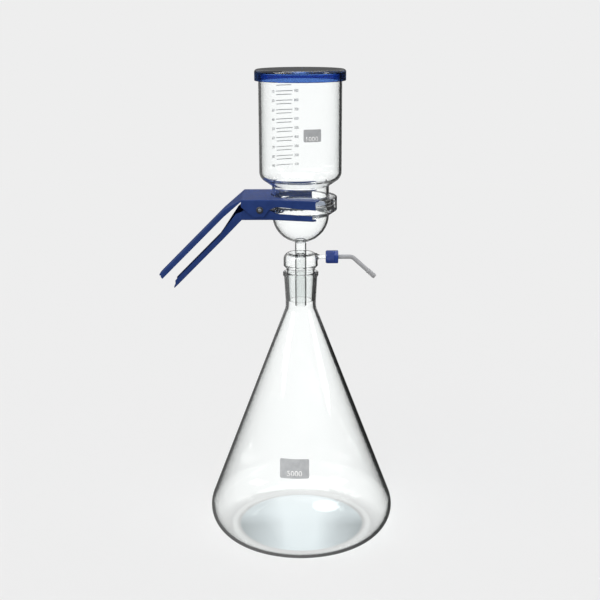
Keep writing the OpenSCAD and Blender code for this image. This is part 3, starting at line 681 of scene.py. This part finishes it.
marks = []
for i in range(scale_count):
    height = scale_low + i * scale_pitch
    for span, z in ((scale_major, height), (scale_minor_span, height + scale_minor)):
        right, left = [across_back(a) for a in span]
        marks.append(flat_patch((left, z - scale_line / 2), (right, z + scale_line / 2), 12, 1))
    for a, number, wide in ((scale_right_number, 100 * (i + 1), right_wide),
                            (scale_left_number, 10 * (scale_count - i), left_wide)):
        marks.append(flat_number(number, across_back(a), height - scale_number_h / 2, scale_number_h,
                                 wide, scale_bold))
cup_scale = joined("cup_scale", marks)
wrap(cup_scale, lambda z: scale_r, on_back)
scale_enamel = finish_of("scale_enamel", (0.108, 0.112, 0.116), (0.168, 0.173, 0.178),
                         rough=(0.45, 0.6), patch=200, grain=2500, height=0.2)
keep_piece(cup_scale, "base", "clear_glass", scale_enamel)

grey_enamel = finish_of("grey_enamel", (0.41, 0.42, 0.43), (0.47, 0.482, 0.49),
                        rough=(0.45, 0.6), patch=200, grain=2500, height=0.2)
white_enamel = finish_of("white_enamel", (0.84, 0.84, 0.83), (0.92, 0.92, 0.91),
                         rough=(0.4, 0.55), patch=200, grain=2500, height=0.2)


def print_field(vessel, low, high, rows, number, number_place, radius_at):
    """Prints a grey field with a plain white number on it on the front of a vessel."""
    field = joined(vessel + "_field", [flat_patch(low, high, 16, rows, field_corner)])
    wrap(field, radius_at, on_front)
    keep_piece(field, "base", "clear_glass", grey_enamel)
    digits = joined(vessel + "_number", [flat_number(number, *number_place, label_wide, label_bold)])
    wrap(digits, lambda z: radius_at(z) + 2 * print_gap, on_front)
    keep_piece(digits, "base", "clear_glass", white_enamel)


def across_front(a):
    """How far a place on the cup's front lies from the middle, from its angle in degrees."""
    return radians(a + 90) * scale_r


def on_cone(z):
    """The cone's outer radius at a height, with the print's gap."""
    run = heel_r * cos(cone_lean) - (z - heel_r - heel_r * sin(cone_lean)) * tan(cone_lean)
    return heel_x + run + print_gap


cup_low_corner, cup_high_corner, cup_number_place = [
    (across_front(a), *rest) for a, *rest in (*cup_field, cup_field_number)]
print_field("cup", cup_low_corner, cup_high_corner, 2, 1000, cup_number_place, lambda z: scale_r)
print_field("flask", *flask_field, 6, 5000, flask_field_number, on_cone)


# Lid: a loose cover turned from one block of clear blue acrylic, with a rounded rim. Its top face is painted
# near black, as painted shade for the dark look that a glancing view gives it. Its skirt hangs outside the
# cup and its flat underside rests on the cup's rim.
lid_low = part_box("lid")[0].z
lid_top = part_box("lid")[1].z
lid_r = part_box("lid")[1].x
lid_skirt = 4 * mm
lid_plate = 3.2 * mm
lid_round = 3.2 * mm
lid_chamfer = 0.6 * mm
lid_inner_round = 1 * mm
acrylic_ior = 1.49
acrylic_blue = (0.07, 0.17, 0.5, 1)
acrylic_pale = (0.08, 0.19, 0.55, 1)
acrylic_shade = (0.25, 0.45, 0.8, 1)
# The near black that the lid's top face is painted: painted shade.
acrylic_painted_shade = (0.001, 0.0012, 0.002, 1)
acrylic_patch = 30
acrylic_grain = 700
acrylic_grain_h = 0.02
acrylic_span = (0.4, 0.7)
acrylic_rough = (0.02, 0.1)
# How far below the top the painted shade of the top face starts.
painted_shade_from = 1.1 * mm

lid_in_r = lid_r - lid_skirt
start_outline("lid_cover", 0, lid_top - lid_plate)
line_to(lid_in_r - lid_inner_round, lid_top - lid_plate)
curve_about(lid_in_r - lid_inner_round, lid_top - lid_plate - lid_inner_round, -90, 5)
line_to(lid_in_r, lid_low + lid_chamfer)
curve_about(lid_in_r + lid_chamfer, lid_low + lid_chamfer, 90, 4)
line_to(lid_r - lid_chamfer, lid_low)
curve_about(lid_r - lid_chamfer, lid_low + lid_chamfer, 90, 4)
line_to(lid_r, lid_top - lid_round)
curve_about(lid_r - lid_round, lid_top - lid_round, 90, 10)
line_to(0, lid_top)
lid = turn_solid(steps=192)

acrylic, n, w = new_material("blue_acrylic")
surface = use_group(n, fine_surface, acrylic_patch, acrylic_grain, acrylic_grain_h)
parts = n.new("ShaderNodeSeparateXYZ")
w.new(n.new("ShaderNodeTexCoord").outputs["Object"], parts.inputs["Vector"])
colour = between(n, w, surface["Patches"], acrylic_blue, acrylic_pale)
# Above a height the top face is mixed to near black: painted shade.
painted_shade_top = ranged(n, w, parts.outputs["Z"], lid_top - painted_shade_from, lid_top - painted_shade_from / 2, 0, 1)
set_shader(acrylic, {"Base Color": between(n, w, painted_shade_top, colour, acrylic_painted_shade), "IOR": acrylic_ior,
                     "Roughness": ranged(n, w, surface["Patches"], *acrylic_span, *acrylic_rough),
                     "Transmission Weight": 1, "Normal": surface["Surface"]})
let_lamps_through(n, w, acrylic_shade)
keep_piece(lid, "base", "lid_acrylic", acrylic, "lid")


# Clamp jaws: each is folded from one aluminium sheet and anodised dark blue. The cut edges are broken and the
# folds are rounded, as a press brake leaves them.
sheet_t = 1.5 * mm
fold_r = 1.1 * mm
edge_r = 0.25 * mm
least_fold = 60
least_edge = 50


def folded_jaw(node, plate_up):
    """A jaw with its folds rounded and its cut edges broken. plate_up is the way that its plate faces."""
    jaw = bpy.data.objects.new(node + "_sheet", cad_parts[node].data.copy())
    bpy.context.collection.objects.link(jaw)
    pick(jaw)
    bpy.ops.object.mode_set(mode="EDIT")
    bpy.ops.mesh.select_all(action="SELECT")
    bpy.ops.mesh.remove_doubles(threshold=0.01 * mm)
    bpy.ops.mesh.customdata_custom_splitnormals_clear()
    bpy.ops.mesh.dissolve_limited(angle_limit=radians(0.5))
    bpy.ops.mesh.select_all(action="DESELECT")
    parts = bmesh.from_edit_mesh(jaw.data)
    for e in parts.edges:
        if len(e.link_faces) == 2 and e.is_convex:
            one, two = [f.normal for f in e.link_faces]
            for plate, side in ((one, two), (two, one)):
                folded = e.calc_face_angle() > radians(least_fold)
                if plate.z * plate_up > 0.5 and abs(side.z) < 0.2 and folded:
                    deep = max(abs(v.co.z - e.verts[0].co.z) for f in e.link_faces for v in f.verts
                               if f.normal == side)
                    if deep > 2 * sheet_t:
                        e.select_set(True)
    bmesh.update_edit_mesh(jaw.data)
    bpy.ops.mesh.bevel(offset=fold_r, segments=3, affect="EDGES")
    bpy.ops.object.mode_set(mode="OBJECT")
    broken = jaw.modifiers.new("edges", "BEVEL")
    broken.width = edge_r
    broken.segments = 2
    broken.angle_limit = radians(least_edge)
    bpy.ops.object.modifier_apply(modifier=broken.name)
    shade(jaw, 35)
    return jaw


anodised = finish_of("blue_anodised", (0.016, 0.038, 0.148), (0.020, 0.047, 0.18),
                     rough=(0.34, 0.42), patch=90, grain=1600, height=0.25)
set_shader(anodised, {"Specular IOR Level": 0.1})
lower_jaw = folded_jaw("lower_jaw", -1)
upper_jaw = folded_jaw("upper_jaw", 1)
keep_piece(lower_jaw, "base", "clamp_metal", anodised, "lower_jaw")
keep_piece(upper_jaw, "upper_jaw", "clamp_metal", anodised, "upper_jaw")


# Pin and retainers: a plain steel pin through both pairs of cheeks, held at each end by a push-on cap of
# blackened spring steel.
pin_low, pin_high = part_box("pivot_pin")
pin_centre = (pin_low + pin_high) / 2
pin_r = (pin_high.x - pin_low.x) / 2
pin_chamfer = 0.4 * mm
pin_clear = 0.05 * mm
retainer_edge = 0.4 * mm
retainer_hub = 0.8 * mm


def turned_across(piece, side):
    """Lays a piece that was turned about the Z axis across the clamp, on the pin's line."""
    turn = Matrix.Rotation(radians(-90 * side), 4, "X")
    piece.data.transform(Matrix.Translation((pin_centre.x, 0, pin_centre.z)) @ turn)


start_outline("pivot_pin_rod", 0, pin_low.y)
side_up(pin_r, pin_low.y, pin_high.y, pin_chamfer, pin_chamfer, 3)
line_to(0, pin_high.y)
pin = turn_solid(steps=40)
turned_across(pin, 1)
pin_steel = finish_of("pin_steel", (0.50, 0.51, 0.50), (0.62, 0.63, 0.62),
                      rough=(0.25, 0.4), patch=300, grain=3000, height=0.2)
set_shader(pin_steel, {"Metallic": 1})
keep_piece(pin, "base", "pin_steel", pin_steel, "pivot_pin")

black_steel = finish_of("black_steel", (0.016, 0.0175, 0.022), (0.04, 0.043, 0.049),
                        rough=(0.3, 0.5), patch=300, grain=2500, height=0.3)
for node, side in (("front_retainer", -1), ("rear_retainer", 1)):
    low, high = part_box(node)
    inner, outer = sorted((abs(low.y), abs(high.y)))
    retainer_r = (high.x - low.x) / 2
    hole_r = pin_r + pin_clear
    hub_r = pin_r + retainer_hub
    start_outline(node + "_cap", hole_r, inner)
    line_to(retainer_r, inner)
    line_to(retainer_r, inner + retainer_edge)
    oval_to(hub_r, inner + retainer_edge, retainer_r - hub_r, outer - inner - retainer_edge, 0, 90, 6)
    line_to(hole_r, outer)
    line_to(hole_r, inner)
    retainer = turn_solid(steps=40)
    turned_across(retainer, side)
    keep_piece(retainer, "base", "retainer_steel", black_steel, node)


# Spring: one bright steel wire wound into two coils on the pin. Its bridge presses on the lower jaw and its
# two ends press on the upper jaw.
wire_r = 0.65 * mm
coil_r = 3.1 * mm
coil_start = 17 * mm
coil_turns = 5
coil_pitch = 1.45 * mm
leg_reach = 16 * mm
turn_steps = 24

leg_up = Vector((-leg_reach, 0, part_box("torsion_spring")[1].z - wire_r - pin_centre.z))
leg_down = Vector((-leg_reach, 0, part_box("torsion_spring")[0].z + wire_r - pin_centre.z))
turn_up = atan2(leg_up.z, leg_up.x) - acos(coil_r / leg_up.length)
turn_down = atan2(leg_down.z, leg_down.x) + acos(coil_r / leg_down.length)
coil_len = coil_turns * coil_pitch
coil_end = coil_start + coil_len


def coil_points(side):
    """One coil's centre line, from the bridge to its upper leg."""
    count = turn_steps * coil_turns
    for i in range(count + 1):
        a = turn_down + (turn_up - turn_down + 2 * pi * coil_turns) * i / count
        yield Vector((coil_r * cos(a), side * (coil_start + coil_len * i / count), coil_r * sin(a)))


bridge = [Vector((leg_down.x + inward, y, leg_down.z)) for inward, y in (
    (mm, coil_start), (0, coil_start - mm), (0, mm - coil_start), (mm, -coil_start))]
route = [Vector((leg_up.x, coil_end, leg_up.z)), *reversed(list(coil_points(1))), *bridge, *coil_points(-1),
         Vector((leg_up.x, -coil_end, leg_up.z))]
wire = bpy.data.curves.new("torsion_spring_wire", "CURVE")
wire.dimensions = "3D"
wire.bevel_depth = wire_r
wire.bevel_resolution = 3
wire.use_fill_caps = True
line = wire.splines.new("POLY")
line.points.add(len(route) - 1)
for point, place in zip(line.points, route):
    point.co = (*(place + Vector((pin_centre.x, 0, pin_centre.z))), 1)
spring = bpy.data.objects.new("torsion_spring_wire", wire)
bpy.context.collection.objects.link(spring)
pick(spring)
bpy.ops.object.convert(target="MESH")
spring = bpy.context.object
bpy.ops.object.shade_smooth_by_angle(angle=radians(40))
spring_steel = finish_of("spring_steel", (0.48, 0.48, 0.47), (0.6, 0.6, 0.6),
                         rough=(0.2, 0.35), patch=300, grain=3000, height=0.2)
set_shader(spring_steel, {"Metallic": 1})
spring.data.materials.clear()
spring.data.materials.append(spring_steel)
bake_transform(spring)
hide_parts("torsion_spring")


# Screw cap: moulded blue plastic with a ribbed grip and a smooth end. It is screwed on the side arm's thread,
# and its end plate holds the nozzle's collar.
cap_low, cap_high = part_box("screw_cap")
cap_r = (cap_high.z - cap_low.z) / 2
cap_bore_r = 5.8 * mm
cap_hole_r = 2.8 * mm
cap_floor = 44 * mm
cap_chamfer = 0.7 * mm
cap_round = 0.98 * mm
hole_edge = 0.3 * mm
rib_h = 0.35 * mm
rib_count = 36
rib_start = cap_low.x + 1.6 * mm
grip_end = cap_low.x + 10.2 * mm
grip_step = 0.4 * mm

start_outline("screw_cap_moulding", cap_bore_r, cap_low.x)
line_to(cap_r - cap_chamfer, cap_low.x)
line_to(cap_r - rib_h, cap_low.x + cap_chamfer)
line_to(cap_r - rib_h, rib_start)
line_to(cap_r - rib_h, grip_end)
line_to(cap_r, grip_end + grip_step)
line_to(cap_r, cap_high.x - cap_round)
curve_about(cap_r - cap_round, cap_high.x - cap_round, 90, 6)
line_to(cap_hole_r + hole_edge, cap_high.x)
line_to(cap_hole_r, cap_high.x - hole_edge)
line_to(cap_hole_r, cap_floor)
line_to(cap_bore_r, cap_floor)
line_to(cap_bore_r, cap_low.x)
cap = turn_solid(steps=4 * rib_count)
bpy.ops.object.mode_set(mode="EDIT")
bpy.ops.mesh.select_all(action="DESELECT")
parts = bmesh.from_edit_mesh(cap.data)
parts.faces.ensure_lookup_table()
for f in parts.faces:
    middle = f.calc_center_median()
    column = int((atan2(middle.y, middle.x) / (2 * pi) % 1) * 4 * rib_count)
    outside_wall = hypot(middle.x, middle.y) > cap_bore_r + 1 * mm
    if outside_wall and rib_start < middle.z < grip_end and column % 4 < 2:
        f.select_set(True)
bmesh.update_edit_mesh(cap.data)
bpy.ops.mesh.extrude_region_shrink_fatten(TRANSFORM_OT_shrink_fatten={"value": rib_h})
bpy.ops.object.mode_set(mode="OBJECT")
shade(cap)
lay_on_arm(cap)
cap_plastic = finish_of("cap_plastic", (0.015, 0.047, 0.25), (0.021, 0.058, 0.30),
                        rough=(0.18, 0.28), patch=120, grain=1500, height=0.3)
keep_piece(cap, "cap", "cap_plastic", cap_plastic, "screw_cap")


# Seal ring: a flat ring of translucent white silicone rubber. It is pressed between the nozzle's collar and
# the end of the side arm.
seal_low, seal_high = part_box("seal_ring")
seal_r = (seal_high.z - seal_low.z) / 2
seal_hole_r = 2.4 * mm
seal_round = 0.3 * mm

start_outline("seal_ring_washer", seal_hole_r + seal_round, seal_low.x)
side_up(seal_r, seal_low.x, seal_high.x, seal_round, seal_round, 4)
line_to(seal_hole_r + seal_round, seal_high.x)
curve_about(seal_hole_r + seal_round, seal_high.x - seal_round, 90, 4)
line_to(seal_hole_r, seal_low.x + seal_round)
curve_about(seal_hole_r + seal_round, seal_low.x + seal_round, 90, 4)
seal = turn_solid(steps=64)
lay_on_arm(seal)
silicone = finish_of("seal_silicone", (0.74, 0.74, 0.72), (0.82, 0.82, 0.8),
                     rough=(0.45, 0.6), patch=200, grain=2000, height=0.2)
set_shader(silicone, {"Subsurface Weight": 0.3, "Subsurface Scale": 1 * mm})
keep_piece(seal, "seal", "seal_silicone", silicone, "seal_ring")


# Hose nozzle: one moulding in light grey plastic. Its spigot and collar sit in the cap, its tube bends down,
# and three barbs near the end hold the vacuum hose.
spigot_x = 37.4 * mm
spigot_r = 2.2 * mm
spigot_chamfer = 0.4 * mm
collar_x = 42.9 * mm
collar_t = 1 * mm
collar_r = 4.9 * mm
tube_r = 2.6 * mm
bore_r = 1.5 * mm
bend_x = 59.3 * mm
bend_r = 8 * mm
bend_turn = 42
leg_len = 22 * mm
barb_count = 3
barb_len = 4 * mm
barb_h = 0.6 * mm
barb_back = 0.5 * mm
tip_round = 0.3 * mm
bend_steps = 14

bpy.ops.object.select_all(action="DESELECT")
bpy.ops.mesh.primitive_circle_add(vertices=48, radius=bore_r, location=(spigot_x, 0, arm_z),
                                  rotation=(0, radians(90), 0))
bpy.context.object.name = bpy.context.object.data.name = "hose_nozzle_moulding"
bpy.ops.object.transform_apply()
bpy.ops.object.mode_set(mode="EDIT")
ring_centre = Vector((spigot_x, 0, arm_z))
ring_r = bore_r
straight = Vector((1, 0, 0))
leg_way = Vector((cos(radians(bend_turn)), 0, -sin(radians(bend_turn))))


def ring_on(way, distance, radius):
    """Draws the tube's ring on along a direction and opens or closes it to a radius."""
    global ring_centre, ring_r
    bpy.ops.mesh.extrude_region_move(TRANSFORM_OT_translate={"value": way * distance})
    ring_centre = ring_centre + way * distance
    if radius != ring_r:
        bpy.ops.transform.resize(value=(radius / ring_r,) * 3, center_override=ring_centre)
        ring_r = radius


def ring_round(turn):
    """Draws the ring on round the bend, by an angle in degrees that is positive on the way down."""
    global ring_centre
    middle = Vector((bend_x, 0, arm_z - bend_r))
    bpy.ops.mesh.spin(steps=bend_steps, angle=radians(-turn), center=middle, axis=(0, 1, 0))
    ring_centre = middle + Matrix.Rotation(radians(turn), 3, "Y") @ (ring_centre - middle)


ring_on(straight, 0, spigot_r - spigot_chamfer)
ring_on(straight, 2 * spigot_chamfer, spigot_r)
ring_on(straight, collar_x - spigot_x - 2 * spigot_chamfer, spigot_r)
ring_on(straight, 0, collar_r - tip_round)
ring_on(straight, tip_round, collar_r)
ring_on(straight, collar_t - 2 * tip_round, collar_r)
ring_on(straight, tip_round, collar_r - tip_round)
ring_on(straight, 0, tube_r)
ring_on(straight, bend_x - collar_x - collar_t, tube_r)
ring_round(bend_turn)
ring_on(leg_way, leg_len, tube_r)
for i in range(barb_count):
    ring_on(leg_way, barb_back, tube_r + barb_h)
    ring_on(leg_way, barb_len - barb_back, tube_r)
ring_on(leg_way, 0, bore_r + tip_round)
ring_on(leg_way, 0, bore_r)
ring_on(-leg_way, leg_len + barb_count * barb_len, bore_r)
ring_round(-bend_turn)
ring_on(-straight, bend_x - spigot_x, bore_r)
nozzle = close_up(0.01 * mm)
shade(nozzle)
nozzle_plastic = finish_of("nozzle_plastic", (0.35, 0.35, 0.357), (0.42, 0.42, 0.427),
                           rough=(0.35, 0.5), patch=90, grain=1400, height=0.3)
keep_piece(nozzle, "nozzle", "nozzle_plastic", nozzle_plastic, "hose_nozzle")


# Bench and studio: a plain pale bench that runs to a pale horizon, a soft sun for the shadows, and soft boxes
# that show as highlights. What clear glass passes straight through is bright. What it catches in its edges
# is dark, darker on the +X side, as with a bright ground between two dark cards. Under the flask, the light
# that the bench gives to rays through the glass is painted: a bluish painted shadow pool that is darker at
# the sides, a paler painted ring round the foot and a painted glint at the back right.
bench_size = 60
ground_grey = 0.855
shadow_share = 0.3
straight_light = 1.14
gap_from = 0.4
gap_span = (0.06, 0.16)
room_span = (-0.2, 0.3)
rise_span = (0.1, 0.4)
card_span = (-0.3, 0.3)
bench_span = (-0.3, 0.2)
# The painted shadow pool under the flask: how it spreads to the sides and towards the back.
painted_pool_sides = (0.25 * foot_in_r, foot_in_r)
painted_pool_back = (-0.1 * foot_in_r, 0.35 * foot_in_r)
edge_left = 0.22
edge_right = 0.03
mirror_behind = 0.03
mirror_front = 0.22
mirror_low = 0.14
mirror_above = 0.75
diffuse_light = 0.64
bench_grey = 0.74
heel_left = 0.13
heel_right = 0.035
# How bright the bench is under the flask for rays through the glass: painted shade in the pool and ring.
painted_shade_back = 1.02
painted_shade_side = 0.56
painted_shade_front = 0.97
painted_shade_ring = 0.73
painted_shade_tint = (0.9, 0.97, 1, 1)
# Place, size and brightness of the painted highlight under the flask's domed base.
painted_glint_place = (33 * mm, 46 * mm, 0)
painted_glint_r = 30 * mm
painted_glint_power = 1.3
foot_soft = (foot_in_r - 1.5 * mm, foot_in_r + 0.5 * mm)
shadow_span = (0.5, 3)
sun_way = (radians(24), radians(-20), 0)
sun_power = 1.85
sun_width = radians(50)
lit_point = Vector((0, 0, 0.3))
# Each soft box has a place, a width, a height and a power.
left_box = ((-1.6, -1.0, 1.5), 0.9, 1.4, 26)
right_box = ((1.7, -0.6, 1.2), 0.5, 1.2, 12)
top_box = ((0.2, 0.6, 2.4), 1.6, 1.2, 16)
camera_place = (0, -1.2395, 0.6361)
camera_way = (radians(74.83), radians(0.17), 0)


def light_choice(n, w, caught, mirror, straight):
    """The light that a ray finds: by its path through glass, its reflections, or neither."""
    path = n.new("ShaderNodeLightPath").outputs
    passed, reflected, scattered = [of_two(n, w, "GREATER_THAN", path[kind + " Depth"], 0.5)
                                    for kind in ("Transmission", "Glossy", "Diffuse")]
    through = between(n, w, reflected, straight, caught, "FLOAT")
    outright = between(n, w, reflected, diffuse_light, mirror, "FLOAT")
    seen = between(n, w, passed, outright, through, "FLOAT")
    seen = between(n, w, scattered, seen, diffuse_light, "FLOAT")
    return between(n, w, path["Is Camera Ray"], seen, ground_grey, "FLOAT")


def card_gap(n, w, aside, ahead):
    """How far a ray points between the two dark cards, from its sideways and its forward run."""
    aside = of_two(n, w, "ABSOLUTE", aside, 0)
    lean = of_two(n, w, "DIVIDE", aside, of_two(n, w, "MAXIMUM", ahead, gap_from))
    gap = ranged(n, w, lean, *gap_span, straight_light, 0)
    return of_two(n, w, "MULTIPLY", gap, of_two(n, w, "GREATER_THAN", ahead, gap_from))


world = bpy.data.worlds.new("studio")
bpy.context.scene.world = world
world.use_nodes = True
n, w = world.node_tree.nodes, world.node_tree.links
sky = n["Background"]
sky.inputs["Color"].default_value = (1, 1, 1, 1)
way = n.new("ShaderNodeTexCoord")
parts = n.new("ShaderNodeSeparateXYZ")
w.new(way.outputs["Generated"], parts.inputs["Vector"])
round_about = ranged(n, w, parts.outputs["Y"], *room_span, mirror_front, mirror_behind)
overhead = ranged(n, w, parts.outputs["Z"], *rise_span, mirror_low, mirror_above)
mirrored = of_two(n, w, "MAXIMUM", round_about, overhead)
caught = ranged(n, w, parts.outputs["X"], *card_span, edge_left, edge_right)
caught = of_two(n, w, "MAXIMUM", caught, card_gap(n, w, parts.outputs["X"], parts.outputs["Y"]))
w.new(light_choice(n, w, caught, mirrored, straight_light), sky.inputs["Strength"])

bpy.ops.object.select_all(action="DESELECT")
bpy.ops.mesh.primitive_plane_add(size=bench_size, location=(0, 0, -0.2 * mm))
bench = bpy.context.object
bench.name = bench.data.name = "bench"
bench_paint, n, w = new_material("bench_paint")
set_shader(bench_paint, {"Base Color": (bench_grey, bench_grey, bench_grey, 1), "Roughness": 0.9,
                         "Specular IOR Level": 0})
glow = n.new("ShaderNodeEmission")
place = n.new("ShaderNodeTexCoord").outputs["Object"]
parts = n.new("ShaderNodeSeparateXYZ")
w.new(place, parts.inputs["Vector"])
x, y = parts.outputs["X"], parts.outputs["Y"]


def distance_from(point):
    """How far a place on the bench is from a point."""
    step = n.new("ShaderNodeVectorMath")
    step.operation = "DISTANCE"
    step.inputs[1].default_value = point
    w.new(place, step.inputs[0])
    return step.outputs["Value"]


away = distance_from((0, 0, 0))
mirrored = ranged(n, w, y, *bench_span, mirror_front, mirror_behind)
# Painted shade under the flask, for rays through its glass: a ring round the foot and a pool darker at the
# sides.
ring = ranged(n, w, away, foot_in_r, flask_r, painted_shade_ring, straight_light)
aside = of_two(n, w, "ABSOLUTE", x, 0)
sides = ranged(n, w, aside, *painted_pool_sides, painted_shade_front, painted_shade_side)
back = ranged(n, w, y, *painted_pool_back, 0, 1)
painted_pool = between(n, w, back, sides, painted_shade_back, "FLOAT")
# A bright blob at the back right under the flask: a painted highlight.
painted_glint = ranged(n, w, distance_from(painted_glint_place), painted_glint_r / 2, painted_glint_r, painted_glint_power * straight_light, 0)
painted_pool = of_two(n, w, "MAXIMUM", painted_pool, painted_glint)
outside = ranged(n, w, away, *foot_soft, 0, 1)
straight = between(n, w, outside, painted_pool, ring, "FLOAT")
caught = ranged(n, w, x, 0, flask_r, heel_left, heel_right)
caught = of_two(n, w, "MAXIMUM", caught, card_gap(n, w, x, y))
w.new(light_choice(n, w, caught, mirrored, straight), glow.inputs["Strength"])
# The bluish tint of the painted shadow pool under the flask.
w.new(between(n, w, outside, painted_shade_tint, (1, 1, 1, 1)), glow.inputs["Color"])
seen_straight = n.new("ShaderNodeLightPath").outputs["Is Camera Ray"]
shaded = of_two(n, w, "MULTIPLY", seen_straight, ranged(n, w, away, *shadow_span, shadow_share, 0))
mix_shaders(n, w, shaded, glow, n["Principled BSDF"])
bench.data.materials.append(bench_paint)

bpy.ops.object.light_add(type="SUN", rotation=sun_way)
sun = bpy.context.object
sun.data.energy = sun_power
sun.data.angle = sun_width
for place, wide, high, power in (left_box, right_box, top_box):
    bpy.ops.object.light_add(type="AREA", location=place)
    box = bpy.context.object
    box.data.shape = "RECTANGLE"
    box.data.size = wide
    box.data.size_y = high
    box.data.energy = power
    box.visible_diffuse = False
    box.rotation_mode = "QUATERNION"
    box.rotation_quaternion = (lit_point - Vector(place)).to_track_quat("-Z", "Y")

bpy.ops.object.camera_add(location=camera_place, rotation=camera_way)
camera = bpy.context.object
camera.data.lens = 63
camera.data.sensor_width = 36
scene = bpy.context.scene
scene.camera = camera
scene.view_settings.view_transform = "Standard"
scene.cycles.max_bounces = 32
scene.cycles.transmission_bounces = 28
scene.cycles.glossy_bounces = 16
scene.cycles.transparent_max_bounces = 32
